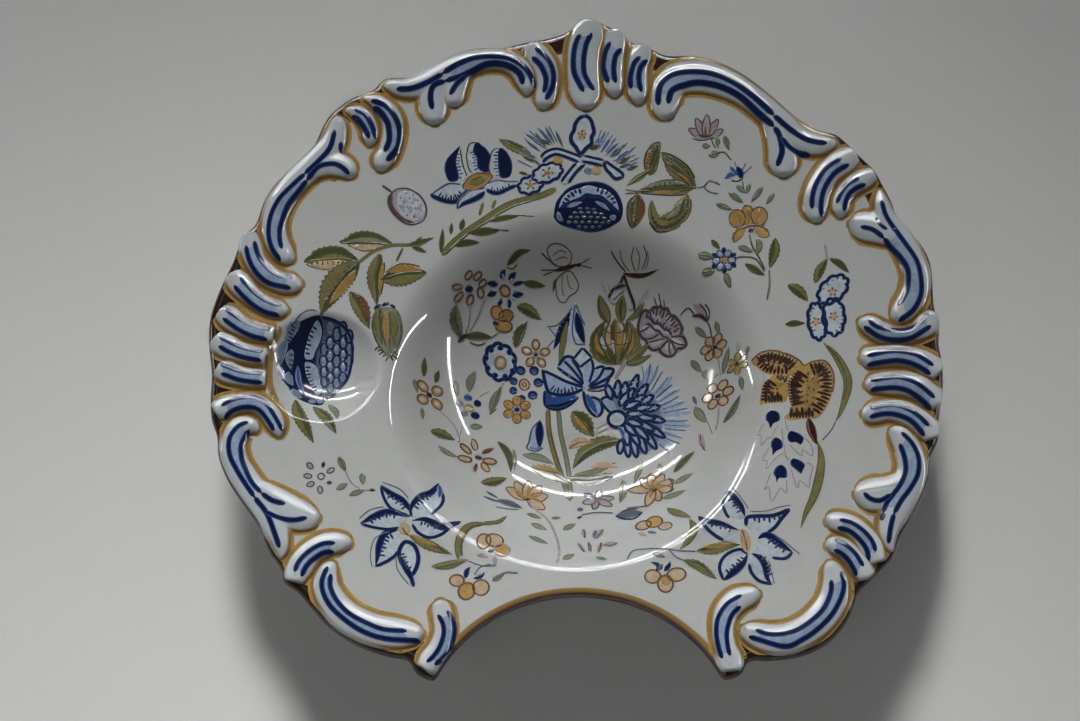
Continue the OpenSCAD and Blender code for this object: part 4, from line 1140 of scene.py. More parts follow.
wash fill 18 0.4 22 2 27 -3 26 -6.6 22 -5.4
cobalt loop 0.7 18 0.4 22 2 27 -3 26 -6.6 22 -5.4
cobalt line 0.6 11.4 6 17 5.6 22 7
milk fill 9.4 26.2 5.6 21.8 8 18 13.2 22
cobalt line 0.65 9.4 26.8 4.8 21.4
/ 0.65 4.8 21.4 8 17.4
/ 0.65 8 17.4 13.8 22
/ 0.65 13.8 22 9.4 26.8
# Bouquet: blue aster
at 29 -13
wash leaf 2.6 1 25 6 31 8 39
/ 2.6 7 21 13 25 18 31
/ 2.6 9 15 17 16 24 17
/ 2.8 9 9 17 7 26 4
/ 2.6 9 1 14 -3 18 -8
/ 1.6 5 26 9 32 12 38
/ 1.6 11 19 17 22 22 24
/ 1.8 12 12 19 11.6 27 11
/ 1.6 11 4 17 1 23 -2
blue line 0.25 4 28 4.4 33 3.6 38
/ 0.25 6.6 27 9.6 32 11 36.6
/ 0.25 9.6 23 13 27 16 30.6
/ 0.25 11.6 19 16 21.4 20 23.6
/ 0.25 13 15 18 16 23 17
/ 0.25 14 7 19 5.6 24 4.4
/ 0.25 13.6 3 17.6 0.6 22 -1.4
/ 0.35 5 27 7 33 7.6 39
/ 0.35 8 25 11 30 13.6 34
/ 0.35 10 21 14 24 18 26.6
/ 0.35 12 17 17 18.6 21 20.4
/ 0.35 13 13 18 13.4 25 13.4
/ 0.35 14 9 19 8 25 7
/ 0.35 14 5 18 3.6 24 2
/ 0.35 13 1 17 -2 21 -4.4
/ 0.35 11 -3 14 -6 16 -9
haze fill -9 27 -3 31 3 31 9 23 13 13 12 1 7 -6 -2 -7 -6 -1 -5 7 -8 15 -10 21
cobalt plumes 0.75 1.5 -11 22 -13 29.4 -8.4 22.6 -7.6 31.4 -5.4 22.6 -4 30.4 -2.4 22.6 1.8 33.6 1 21.6 6.4
28.4 3 19 9 22.4 4 15.6 12 16.6 5 12 14.2 8.6 4.6 8.6 14 0 4 5.6 10 -5.6 1.4 4 5 -7.4 -1.4 3 0.6 -9 -4 2
-3.2 -8.6 -6.4 1 -7.4 -6.6 -5 20 0 27 -2 19 5 23 0 16 8 17.4 1 12.6 9.6 10.4 1 10 9.4 4.4 -0.4 8 6.4 -0.4
-2.4 7 2 -3 -4.4 6 -3.4 -2.4 -7 18.6 -3 25 -5 17 2 20 -4 14 4 14 -4 11 3.6 7.6 -5 9.4 0.4 2.6
milk disc -8.4 11.6 4.2 4 0
cobalt ring 0.85 -8.4 11.6 4.3 4.1 0
blue leaf 1.2 -8 8 -6 5 -5 1
# Purple carnation and leafy bud
at 16 29
mauve fill 15 14.4 17 19.4 22 21 27 19.8 32 15.6 35.6 9.6 37.6 1.8 32 -1.4 27.4 -0.8 22 2.2 17.4 8 15.4 11
milk leaf 1.6 17 13.6 20 11.6 23 9.4
/ 1.4 21 6.4 23.6 5.4 26.6 5.8
/ 1.6 29.4 0.4 29.4 3 29.8 5.4
/ 1.3 35.4 2.4 33 4 30.8 6
/ 1.3 20 16 24 12.6 30 7.6
/ 1 21 19 23 17 26 14.4
/ 1 27 17.4 29.4 14.6 31 11.6
purple loop 0.75 15 14 16 18 18 20.4 20.4 19.4 22 21 24 20.4 25.4 21 27 19 28.6 19.4 30 16.4 32 15.4 33.6
13.6 35 11 35.8 9 35 7 36.6 5 37.6 1.6 35.4 0.6 33.6 1 31.6 -1.6 29 -1.6 27 -0.4 25.6 1 25 2.6 23 2.2 21 3
19.4 5 18.6 7.4 17 8.6 15.4 11
purple line 0.65 18.4 17.8 20.6 17 22.4 14.4 25 13.6 27.4 10.8 29.4 10 31 7.4
/ 0.55 18.6 14.6 20.6 14 22.6 11.6 25 10.4 27 7.8 30 6.4
/ 0.5 30 6 27 4 25.2 2.4
/ 0.45 30 6 29.6 2 30.4 -1
/ 0.5 30 6 31.6 3 32.6 0.4
/ 0.45 30 6 33 3.6 37 2
/ 0.5 30.6 7 34 6.6 36 6
/ 0.45 28 7 24 6.6 20 6.4
/ 0.4 25 9.6 22 8 19 8
/ 0.4 20.6 13.4 18 12 15.6 11.6
purple comb 0.5 35.4 8.4 32.8 14 28 18.6 22 20.4 17 18.4 12 3.4
/ 0.45 18.8 17.4 22 15.2 26 12.4 30.6 8.4 7 2.2
purple line 0.25 24 21 22.4 25
/ 0.25 26 20.4 24.6 26.4
/ 0.25 27.6 19.4 27 23.4
olive leaf 2.8 5 -2.6 -4 2.4 -5.6 10.6 -1 18
/ 2.8 4 -2.6 12.6 2.4 13 10 10 17.6
sage leaf 4 4.6 -2.6 -2 4 -1.4 17.6
/ 4 4.6 -2.6 10.4 4 9.6 17.6
olive leaf 4.6 4.4 -3 3.4 7 4 18.6
peach leaf 1.2 1.6 15 0.6 10 2.4 4
ochre leaf 1.1 5.4 16 6.4 10 5 3
milk leaf 1 -2.6 11 -2 7.6 0 4.4
peach leaf 1.2 9.4 13 9 8 7.6 3
ochre leaf 1.1 -5 12 -5 7 -1 1.4
/ 1.1 12.8 12 13 7 9.6 1.4
milk leaf 0.9 2.4 9 3.4 6 3.6 2
russet line 0.28 4 18 3.8 9 4.4 -1
/ 0.28 -0.6 17.6 -5.6 11.4 -5.4 5 -1 0
/ 0.28 9.6 17 13.4 10.4 13 4.6 9 0
green line 0.4 1 17 -1 10 2 1
/ 0.4 7.4 17 9.6 10 6.4 1
/ 0.4 -3.6 14 -3.4 8 0.6 0.6
/ 0.4 11.8 14 11.6 8 7.8 0.6
russet line 0.25 -2 15 1 12.4 3.6 12.6 6.6 12.2 10 14.6
/ 0.25 -4 8 -0.6 6.4 3 7.4 7 6.4 12 7.6
olive fill -3.8 29 -4.6 24 -3 19.6 1 16.6 2 20.6 -0.4 25.6
/ 7.6 28 4.4 24.6 4.4 20 7 16.4 9.4 20.6 9 25
green line 0.5 -3.6 28 -3.4 23 0 17.6
green leaf 1.4 7.4 27.4 6.6 22 7 17
olive leaf 1.3 10 17.6 14 19.4 18 24
brown line 0.6 0.6 27.4 3 30.6 6.4 32.6 8 35.4 9.4 32.4 11 28.6 13 24 13.2 21
milk fill 1.6 26.4 3.6 29.4 7.6 30 6.6 27.6 4 25
/ 9.4 28.4 11.4 25.6 12.4 22 10.2 22.4
purple leaf 1.2 3.4 30.6 6.6 31.6 9.6 31.4
purple line 0.3 3 26 6 28.4 8.6 29.6
olive leaf 2 9 -2 14 1 20.4 5.6
/ 1.4 9.4 -3 15 -2 21.4 0.6
green line 0.3 9.4 -2 14.4 0.4 20 5
mauve line 0.8 9.4 -1 6.4 -5.4 4 -9.4
/ 0.25 -3 34 0 29.6
/ 0.25 1 33 1.6 29
/ 0.25 20 29 16 25 14 21
# Bluebell
at -23 -18
wash fill 6.4 16 3 11.6 1 3 4.6 0.6 8.2 2.6 8 10
cobalt leaf 2.1 6.6 16.6 6.6 9 6.6 1.4
cobalt line 0.4 6.4 16 3 11.6 1.6 5 0.6 1.6 4.6 0.2 8.4 2
blue line 0.6 2 2 5 1.4 7.6 2.4
"""


def linear(code):
    """Linear colour with alpha from an sRGB hex code."""
    parts = [int(code[i:i + 2], 16) / 255 for i in (1, 3, 5)]
    return tuple(c / 12.92 if c <= 0.04045 else ((c + 0.055) / 1.055) ** 2.4 for c in parts) + (1.0,)


def length_size(name, text, value):
    """A length that a user can change, from its value in millimetres."""
    return FloatProperty(name=name, description=text, default=value * MM, unit="LENGTH", subtype="DISTANCE")


def glaze_colour(name, text, code):
    """A colour that a user can change, from its hex code."""
    return FloatVectorProperty(name=name, description=text, default=linear(code), size=4, subtype="COLOR",
                               min=0, max=1)


class BowlSizes(PropertyGroup):
    """Sizes of the bowl, in metres."""

    well_r: length_size("Well radius", "Radius of the well where it meets the flange", 84)
    well_depth: length_size("Well depth", "Depth of the well below the flange", 40)
    wall: length_size("Wall", "Thickness of the clay", 8)
    flange_rise: length_size("Flange rise", "Rise of the flange from the well to the rim", 8)
    rim_w: length_size("Rim width", "Width of the rim from side to side", 340)
    lip_soft: length_size("Well lip", "How softly the well turns over into the flange", 12)
    foot_r: length_size("Foot radius", "Outer radius of the foot ring", 50)
    foot_w: length_size("Foot width", "Width of the foot ring's wall", 6)
    foot_h: length_size("Foot height", "Height of the floor's underside above the table", 7)
    neck_r: length_size("Notch radius", "Radius of the neck notch", 70)
    neck_reach: length_size("Notch reach", "Distance from the well's axis to the notch", 102)
    soap_r: length_size("Soap hollow radius", "Radius of the soap hollow at the flange", 27)
    soap_depth: length_size("Soap hollow depth", "Depth of the soap hollow", 11)
    relief_h: length_size("Relief height", "Height of the mouldings above the flange", 5)
    columns: IntProperty(name="Columns", description="Facets round the dish", default=720, min=120)


class BowlColours(PropertyGroup):
    """Colours of the glaze and of the painting."""

    glaze: glaze_colour("Tin glaze", "White tin glaze over buff clay", "#bbbdbb")
    relief: glaze_colour("Relief glaze", "Tin glaze where it lies thick on the relief", "#bec3c6")
    cobalt: glaze_colour("Cobalt", "Cobalt blue, full strength", "#07143c")
    blue: glaze_colour("Cobalt half", "Cobalt blue, thinned by half", "#2f508c")
    wash: glaze_colour("Cobalt wash", "Cobalt blue as a thin wash", "#94a5bc")
    milk: glaze_colour("Cobalt tint", "Cobalt blue as the thinnest wash", "#b2bcc4")
    haze: glaze_colour("Cobalt haze", "Cobalt blue as a dull wash", "#6e7d96")
    slate: glaze_colour("Slate", "Cobalt greyed with manganese", "#535c69")
    ochre: glaze_colour("Ochre", "Iron ochre line", "#987b48")
    straw: glaze_colour("Straw", "Antimony yellow", "#b08e50")
    peach: glaze_colour("Peach", "Antimony yellow as a thin wash", "#b8a286")
    olive: glaze_colour("Olive", "Copper green over yellow", "#757047")
    green: glaze_colour("Green", "Copper green", "#474d2f")
    sage: glaze_colour("Sage", "Copper green as a thin wash", "#7a806c")
    purple: glaze_colour("Purple", "Manganese purple", "#38202a")
    mauve: glaze_colour("Mauve", "Manganese purple as a thin wash", "#a09498")
    brown: glaze_colour("Brown", "Manganese brown, full strength", "#2a1915")
    russet: glaze_colour("Russet", "Manganese brown over ochre", "#6c4730")


# Step along the smooth outlines of the rim and the relief, in millimetres
PLAN_STEP = 1.0
# Places of the soap hollow and the notch in plan
SOAP_AT = (-115.0, 8.0)
NECK_X = 1.0
# Power that shapes the well, flat in the middle and steep at the edge
WELL_POWER = 3
# How softly the soap hollow turns over into the flange, and its boss into the underside
SOAP_SOFT = 1.2
BOSS_SOFT = 2
# Points along the notch's arc, and the notch's share of the dish's columns
ARC_POINTS = 160
NOTCH_SHARE = 0.14
# How often the horns' corners are rubbed round
CORNER_RUBS = 3


def curve_at(a, b, c, d, t):
    """Point on the smooth curve through four neighbours, at share t of the middle stretch."""
    return tuple(
        q + (r - p) * t / 2 + (2 * p - 5 * q + 4 * r - s) * t * t / 2 + (3 * q - p - 3 * r + s) * t ** 3 / 2
        for p, q, r, s in zip(a, b, c, d))


def smooth_run(points, step, closed=False):
    """Smooth curve through the points, with stretches about as long as the step."""
    n = len(points)
    out = []
    for i in range(n if closed else n - 1):
        if closed:
            four = [points[(i + k) % n] for k in (-1, 0, 1, 2)]
        else:
            four = [points[max(0, min(n - 1, i + k))] for k in (-1, 0, 1, 2)]
        span = math.dist(four[1][:2], four[2][:2])
        parts = max(1, round(span / step))
        out += [curve_at(*four, k / parts) for k in range(parts)]
    if not closed:
        out.append(tuple(points[-1]))
    return out


def even_run(points, count):
    """The run cut into count even stretches."""
    table = np.array(points, float)
    gone = np.concatenate(([0], np.cumsum(np.hypot(*np.diff(table[:, :2], axis=0).T))))
    at = np.linspace(0, gone[-1], count + 1)
    return np.stack([np.interp(at, gone, table[:, c]) for c in range(table.shape[1])], axis=1)


def sizes():
    """The sizes that a user can change."""
    return bpy.context.scene.bowl_sizes


def mm(name):
    """A size of the bowl in millimetres."""
    return getattr(sizes(), name) / MM


def flange_top(r):
    """Height of the flange's upper face at a radius."""
    slope = mm("flange_rise") / (mm("rim_w") / 2 - mm("well_r"))
    return mm("foot_h") + mm("wall") + mm("well_depth") + slope * (r - mm("well_r"))


def soft_low(a, b, soft):
    """The lower of two heights, with a soft turn between them."""
    mix = np.clip(0.5 + (b - a) / (2 * soft), 0, 1)
    return a * mix + b * (1 - mix) - soft * mix * (1 - mix)


def soap_ball():
    """Centre and radius of the ball that the soap hollow is pressed with."""
    at = np.array(SOAP_AT)
    radius = (mm("soap_r") ** 2 + mm("soap_depth") ** 2) / (2 * mm("soap_depth"))
    return at, flange_top(np.hypot(*at)) - mm("soap_depth") + radius, radius


def dish_top(x, y):
    """Height of the dish's upper face, with the soap hollow."""
    r = np.hypot(x, y)
    well = mm("foot_h") + mm("wall") + mm("well_depth") * (r / mm("well_r")) ** WELL_POWER
    top = soft_low(well, flange_top(r), mm("lip_soft"))
    at, ball_z, ball_r = soap_ball()
    away = np.hypot(x - at[0], y - at[1])
    ball = ball_z - np.sqrt(np.maximum(ball_r ** 2 - np.minimum(away, ball_r) ** 2, 0))
    return soft_low(top, ball, SOAP_SOFT)


def dish_under(x, y):
    """Height of the dish's underside, with the boss below the soap hollow."""
    r = np.hypot(x, y)
    well = mm("foot_h") + mm("well_depth") * (r / (mm("well_r") + mm("wall"))) ** WELL_POWER
    under = soft_low(well, flange_top(r) - mm("wall"), mm("lip_soft"))
    at, ball_z, ball_r = soap_ball()
    out_r = ball_r + mm("wall")
    away = np.hypot(x - at[0], y - at[1])
    boss = ball_z - np.sqrt(np.maximum(out_r ** 2 - np.minimum(away, out_r) ** 2, 0))
    return soft_low(under, boss, BOSS_SOFT)


def rim_outline(count):
    """Even points round the rim and the notch, their outward normals, and where the notch lies."""
    side = smooth_run(RIM, PLAN_STEP)
    centre = np.array((NECK_X, -mm("neck_reach") - mm("neck_r")))
    start = math.atan2(RIM[-1][1] - centre[1], RIM[-1][0] - centre[0])
    end = math.atan2(RIM[0][1] - centre[1], RIM[0][0] - centre[0])
    arc = [tuple(centre + mm("neck_r") * np.array((math.cos(a), math.sin(a))))
           for a in np.linspace(start, end, ARC_POINTS)]
    notch_count = round(count * NOTCH_SHARE)
    loop = np.concatenate((even_run(side, count - notch_count)[:-1], even_run(arc, notch_count)[:-1]))
    for _ in range(CORNER_RUBS):
        loop = (np.roll(loop, 1, axis=0) + 2 * loop + np.roll(loop, -1, axis=0)) / 4
    along = np.roll(loop, -1, axis=0) - np.roll(loop, 1, axis=0)
    out = np.stack((along[:, 1], -along[:, 0]), axis=1) / np.hypot(*along.T)[:, None]
    is_notch = np.arange(count) >= count - notch_count
    turn = np.unwrap(np.arctan2(loop[:, 1], loop[:, 0]))
    first = count - notch_count
    spread = np.concatenate((np.linspace(turn[0], turn[first], first, endpoint=False),
                             np.linspace(turn[first], turn[0] + 2 * math.pi, notch_count, endpoint=False)))
    return loop, out, is_notch, spread


def add_node(tree, kind, settings=None, **links):
    """Adds a node, sets its fields or inputs, and links named inputs to sockets."""
    node = tree.nodes.new(kind)
    for key, value in (settings or {}).items():
        if key in node.inputs:
            node.inputs[key].default_value = value
        else:
            setattr(node, key, value)
    for key, socket in links.items():
        name = key.replace("_", " ")
        target = node.inputs[int(key[1:])] if key[0] == "i" and key[1:].isdigit() else node.inputs[name]
        tree.links.new(socket, target)
    return node


# Spread of the glaze's pooling and of the brush's streaks, and height of the ripples, in millimetres
POOLING = 14
STREAKS = 2
RIPPLES = 0.05
# Sums of the two noises between which a colour goes from dark to pale
DARK_NOISE = 0.7
PALE_NOISE = 1.3
# Sockets of a mix of colours: the colour below, the colour above and the result
MIX_BELOW = 6
MIX_ABOVE = 7
MIX_RESULT = 2


def fired_glaze(name, colour, pool, rough, bump, painted=()):
    """Glassy fired surface whose colour pools, with up to three colours painted by the paint attribute."""
    material = bpy.data.materials.new(name)
    material.use_nodes = True
    tree = material.node_tree
    tree.nodes.clear()
    out = add_node(tree, "ShaderNodeOutputMaterial")
    place = add_node(tree, "ShaderNodeTexCoord")
    broad = add_node(tree, "ShaderNodeTexNoise", {"Scale": 1 / (POOLING * MM), "Detail": 2.0},
                     Vector=place.outputs["Object"])
    fine = add_node(tree, "ShaderNodeTexNoise", {"Scale": 1 / (STREAKS * MM), "Detail": 3.0},
                    Vector=place.outputs["Object"])
    both = add_node(tree, "ShaderNodeMath", {"operation": "ADD"},
                    i0=broad.outputs["Fac"], i1=fine.outputs["Fac"])
    level = add_node(tree, "ShaderNodeMapRange",
                     {"From Min": DARK_NOISE, "From Max": PALE_NOISE,
                      "To Min": 1 - pool, "To Max": 1 + pool},
                     Value=both.outputs[0])
    scale = add_node(tree, "ShaderNodeVectorMath", {"operation": "SCALE"}, Scale=level.outputs[0])
    scale.inputs[0].default_value = colour[:3]
    if painted:
        coat = add_node(tree, "ShaderNodeAttribute", {"attribute_name": "paint"})
        split = add_node(tree, "ShaderNodeSeparateColor", i0=coat.outputs["Color"])
        under = None
        for share, shade in zip(split.outputs, painted):
            mix = add_node(tree, "ShaderNodeMix", {"data_type": "RGBA"}, i0=share)
            mix.inputs[MIX_BELOW].default_value = colour
            mix.inputs[MIX_ABOVE].default_value = shade
            if under:
                tree.links.new(under, mix.inputs[MIX_BELOW])
            under = mix.outputs[MIX_RESULT]
        tree.links.new(under, scale.inputs[0])
    ripple = add_node(tree, "ShaderNodeBump", {"Strength": bump, "Distance": RIPPLES * MM},
                      Height=broad.outputs["Fac"])
    surface = add_node(tree, "ShaderNodeBsdfPrincipled", {"Roughness": rough, "IOR": 1.5},
                       i0=scale.outputs[0], Normal=ripple.outputs[0])
    tree.links.new(surface.outputs[0], out.inputs["Surface"])
    return material


def colour_of(name):
    """A colour that a user can change."""
    return tuple(getattr(bpy.context.scene.bowl_colours, name))


# The colour that each paint turns to at the edges of a mark, where it bleeds into the glaze
EDGES = {
    "cobalt": "blue", "blue": "wash", "wash": "milk", "haze": "wash", "slate": "haze", "ochre": "straw",
    "straw": "ochre", "peach": "straw", "olive": "green", "green": "olive", "sage": "green",
    "purple": "mauve", "brown": "russet",
}


def paint_material(name):
    """Metal oxide painted on the raw tin glaze and fired into it: it sinks in, pools and stays glossy."""
    made = bpy.data.materials.get("fired_oxide_" + name)
    edge = (colour_of(EDGES[name]),) if name in EDGES else ()
    return made or fired_glaze("fired_oxide_" + name, colour_of(name), pool=0.22, rough=0.12, bump=0.2,
                               painted=edge)


def add_piece(name, bm, material, node=None):
    """Turns a bmesh in millimetres into a finished piece on the frame."""
    bmesh.ops.scale(bm, vec=(MM, MM, MM), verts=bm.verts)
    mesh = bpy.data.meshes.new(name)
    bm.to_mesh(mesh)
    bm.free()
    return add_mesh(name, mesh, material, node)


def add_mesh(name, mesh, material, node=None):
    """Adds a mesh in metres as a piece that rides on the frame and may stand for a node."""
    piece = bpy.data.objects.new(name, mesh)
    bpy.context.scene.collection.objects.link(piece)
    mesh.shade_smooth()
    mesh.materials.append(material)
    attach(piece, "root")
    if node:
        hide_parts(node)
    return piece


# Half widths that mark a round tip, a tip that spreads to the rim and a tip that is cut off
ROUND_TIP = 1
RIM_TIP = 2
CUT_TIP = 1.5
# How much further a strand spreads at the rim, in half width
SPREAD = 0.8
# Share of the next half width at a tip on the rim, and at one that is cut off
RIM_TIP_SHARE = 0.62
CUT_TIP_SHARE = 0.85
# Glaze on the sides of a strand, and the half width from which it is at its thickest
SIDE_GLAZE = 0.9
THICK_FROM = 4


def strand_table(strand):
    """A strand as dense points (x, y, half width), a little wider than its clay so that neighbours meet."""
    points = [list(point) for point in strand]
    for tip, next_in in ((0, 1), (-1, -2)):
        if points[tip][2] == RIM_TIP:
            points[next_in][2] += SPREAD
            points[tip][2] = RIM_TIP_SHARE * points[next_in][2]
        elif points[tip][2] == CUT_TIP:
            points[tip][2] = CUT_TIP_SHARE * points[next_in][2]
    table = np.array(smooth_run([(x, y, w * w) for x, y, w in points], PLAN_STEP), float)
    table[:, 2] = np.sqrt(np.maximum(table[:, 2], 1.0))
    table[:, 2] += SIDE_GLAZE * np.minimum(1, table[:, 2] / THICK_FROM)
    return table


def spans(xy, line):
    """Distance of each point from every point of a line."""
    return np.hypot(xy[:, 0, None] - line[None, :, 0], xy[:, 1, None] - line[None, :, 1])


def depth_inside(xy, tables):
    """How far inside a moulding's footprint each point lies."""
    return np.max([(table[None, :, 2] - spans(xy, table)).max(axis=1) for table in tables], axis=0)


def distance_to(xy, line):
    """Distance of each point from the nearest point of a line."""
    return spans(xy, line).min(axis=1)


def keep_inside(xy, loop, out, gap):
    """Moves points that lie past the rim, or nearer to it than the gap, back inside."""
    near = spans(xy, loop).argmin(axis=1)
    past = np.maximum(((xy - loop[near]) * out[near]).sum(axis=1) + gap, 0)
    return xy - past[:, None] * out[near]


def ease(value, low, high):
    """0 at the low value and 1 at the high one."""
    return np.clip((value - low) / (high - low), 0, 1)


# Paint along the notch: the distances at which each band ends and is full
OCHRE_BAND = (3.8, 3.2)
PURPLE_BAND = (1.4, 0.9)
# Upper rows of points on the rim's edge that are painted brown, with two more below
BROWN_ROWS = 7


class BOWL_OT_dish(Operator):
    """Turns the dish, cuts it to the rim's outline and presses the soap hollow"""

    bl_idname = "bowl.dish"
    bl_label = "Dish"

    def coats(self, rows, loop, is_notch, first, top_rows):
        """Shares of ochre on the notch's edge, purple on its face and brown on the rim's edge."""
        notch = loop[is_notch]
        coats = np.zeros((len(rows), len(loop), 4))
        coats[:, :, 3] = 1
        for row in range(first, top_rows):
            from_notch = distance_to(rows[row][0], notch)
            coats[row, :, 0] = ease(from_notch, *OCHRE_BAND)
            coats[row, :, 1] = ease(from_notch, *PURPLE_BAND)
        coats[top_rows:top_rows + 2, is_notch, 1] = 1
        coats[top_rows - BROWN_ROWS:top_rows + 2, ~is_notch, 2] = 1
        return coats

    def execute(self, context):
        count = sizes().columns
        loop, out, is_notch, spread = rim_outline(count)
        # Radius inside which the rows of points are round, and radius of the rim's edge
        inner_r = 97.0
        edge = 3.0
        half = mm("wall") / 2
        # Rows of points: radii in the middle, shares of the way to the edge, and turns over the edge
        inner = np.concatenate((np.linspace(0, 24, 9), np.linspace(27, inner_r, 36)))
        across = np.linspace(0, 1, 41)[1:]
        bends = np.radians((15, 30, 45, 60, 75, 90))
        under_bends = np.radians((60, 30, 0))
        under_across = np.linspace(1, 0, 13)[1:]
        under_inner = np.concatenate((np.linspace(inner_r, 56, 12)[1:], np.linspace(52, 0, 7)))
        ring = np.stack((np.cos(spread), np.sin(spread)), axis=1)
        brink = loop - edge * out
        rows = []
        for r in inner:
            xy = r * ring
            rows.append((xy, dish_top(*xy.T)))
        for t in across:
            xy = inner_r * ring * (1 - t) + brink * t
            rows.append((xy, dish_top(*xy.T)))
        for a in bends:
            xy = loop - edge * (1 - math.sin(a)) * out
            rows.append((xy, dish_top(*xy.T) - half * (1 - math.cos(a))))
        top_rows = len(rows)
        for a in under_bends:
            xy = loop - edge * (1 - math.sin(a)) * out
            rows.append((xy, dish_under(*xy.T) + half * (1 - math.cos(a))))
        for t in under_across:
            xy = inner_r * ring * (1 - t) + brink * t
            rows.append((xy, dish_under(*xy.T)))
        for r in under_inner:
            xy = r * ring
            rows.append((xy, dish_under(*xy.T)))
        last = len(rows) - 1

        # A chain of points is turned once round, then every point goes to its own place
        bm = bmesh.new()
        chain = [bm.verts.new((j, 0, 0)) for j in range(top_rows)]
        chain += [bm.verts.new((last - j, 0, -1)) for j in range(top_rows, last + 1)]
        links = [bm.edges.new(pair) for pair in zip(chain, chain[1:])]
        bmesh.ops.spin(bm, geom=chain + links, cent=(0, 0, 0), axis=(0, 0, 1), angle=2 * math.pi, steps=count,
                       use_merge=True)
        bmesh.ops.remove_doubles(bm, verts=bm.verts, dist=0.001)
        coats = self.coats(rows, loop, is_notch, len(inner), top_rows)
        paint = bm.verts.layers.float_color.new("paint")
        for vert in bm.verts:
            away = round(math.hypot(vert.co.x, vert.co.y))
            row = away if vert.co.z > -0.5 else last - away
            column = round(math.atan2(vert.co.y, vert.co.x) / (2 * math.pi) * count) % count
            xy, z = rows[row]
            vert.co = (xy[column][0], xy[column][1], z[column])
            vert[paint] = coats[row, column]
        bmesh.ops.recalc_face_normals(bm, faces=bm.faces)
        # Tin glaze over buff clay, dipped and fired: a soft grey-white skin that mirrors the lamps
        glaze = fired_glaze("tin_glaze_fired", colour_of("glaze"), pool=0.03, rough=0.05, bump=0.25,
                            painted=(colour_of("ochre"), linear("#5d434a"), colour_of("brown")))
        add_piece("dish", bm, glaze, "dish_body")
        return {"FINISHED"}


class BOWL_OT_foot_ring(Operator):
    """Turns the foot ring and rounds its edges"""

    bl_idname = "bowl.foot_ring"
    bl_label = "Foot ring"

    def execute(self, context):
        out_r = mm("foot_r")
        in_r = out_r - mm("foot_w")
        joint = 0.6
        chamfer = 1.2
        facets = 192
        points = ((in_r, float(dish_under(in_r, 0)) + joint), (in_r, chamfer), (in_r + chamfer, 0),
                  (out_r - chamfer, 0), (out_r, chamfer), (out_r, float(dish_under(out_r, 0)) + joint))
        bm = bmesh.new()
        chain = [bm.verts.new((r, 0, z)) for r, z in points]
        links = [bm.edges.new(pair) for pair in zip(chain, chain[1:] + chain[:1])]
        bmesh.ops.spin(bm, geom=chain + links, cent=(0, 0, 0), axis=(0, 0, 1), angle=2 * math.pi,
                       steps=facets, use_merge=True)
        bmesh.ops.recalc_face_normals(bm, faces=bm.faces)
        # Foot wiped clean of glaze before firing: bare buff clay, dull and a little gritty
        clay = fired_glaze("buff_clay_fired", linear("#c3ab8b"), pool=0.1, rough=0.75, bump=0.8)
        piece = add_piece("foot", bm, clay, "foot_ring")
        bevel = piece.modifiers.new("Rounded edges", "BEVEL")
        bevel.width = 0.8 * MM
        bevel.segments = 3
        return {"FINISHED"}


# Depth to which a moulding's foot reaches into the flange
SINK = 1.5
# Glaze pools in the valleys, so the relief shows lower than its clay
RELIEF_SHARE = 0.66
# Facets over a strand, the half width from which it has its full height, and the power of its shoulders
STRAND_SIDES = 16
FULL_FROM = 4.5
SHOULDERS = 1.5
# Size of the voxels that join the strands
VOXEL = 0.7
# Land between the relief and the rim's edge
RIM_LAND = 0.7
# Ochre on the lower flank: the depths inside the footprint at which it ends and is full
OCHRE_FLANK = (1.9, 1.2)
# Distances from the rim between which the ochre starts
OCHRE_FROM_RIM = (1.5, 3)


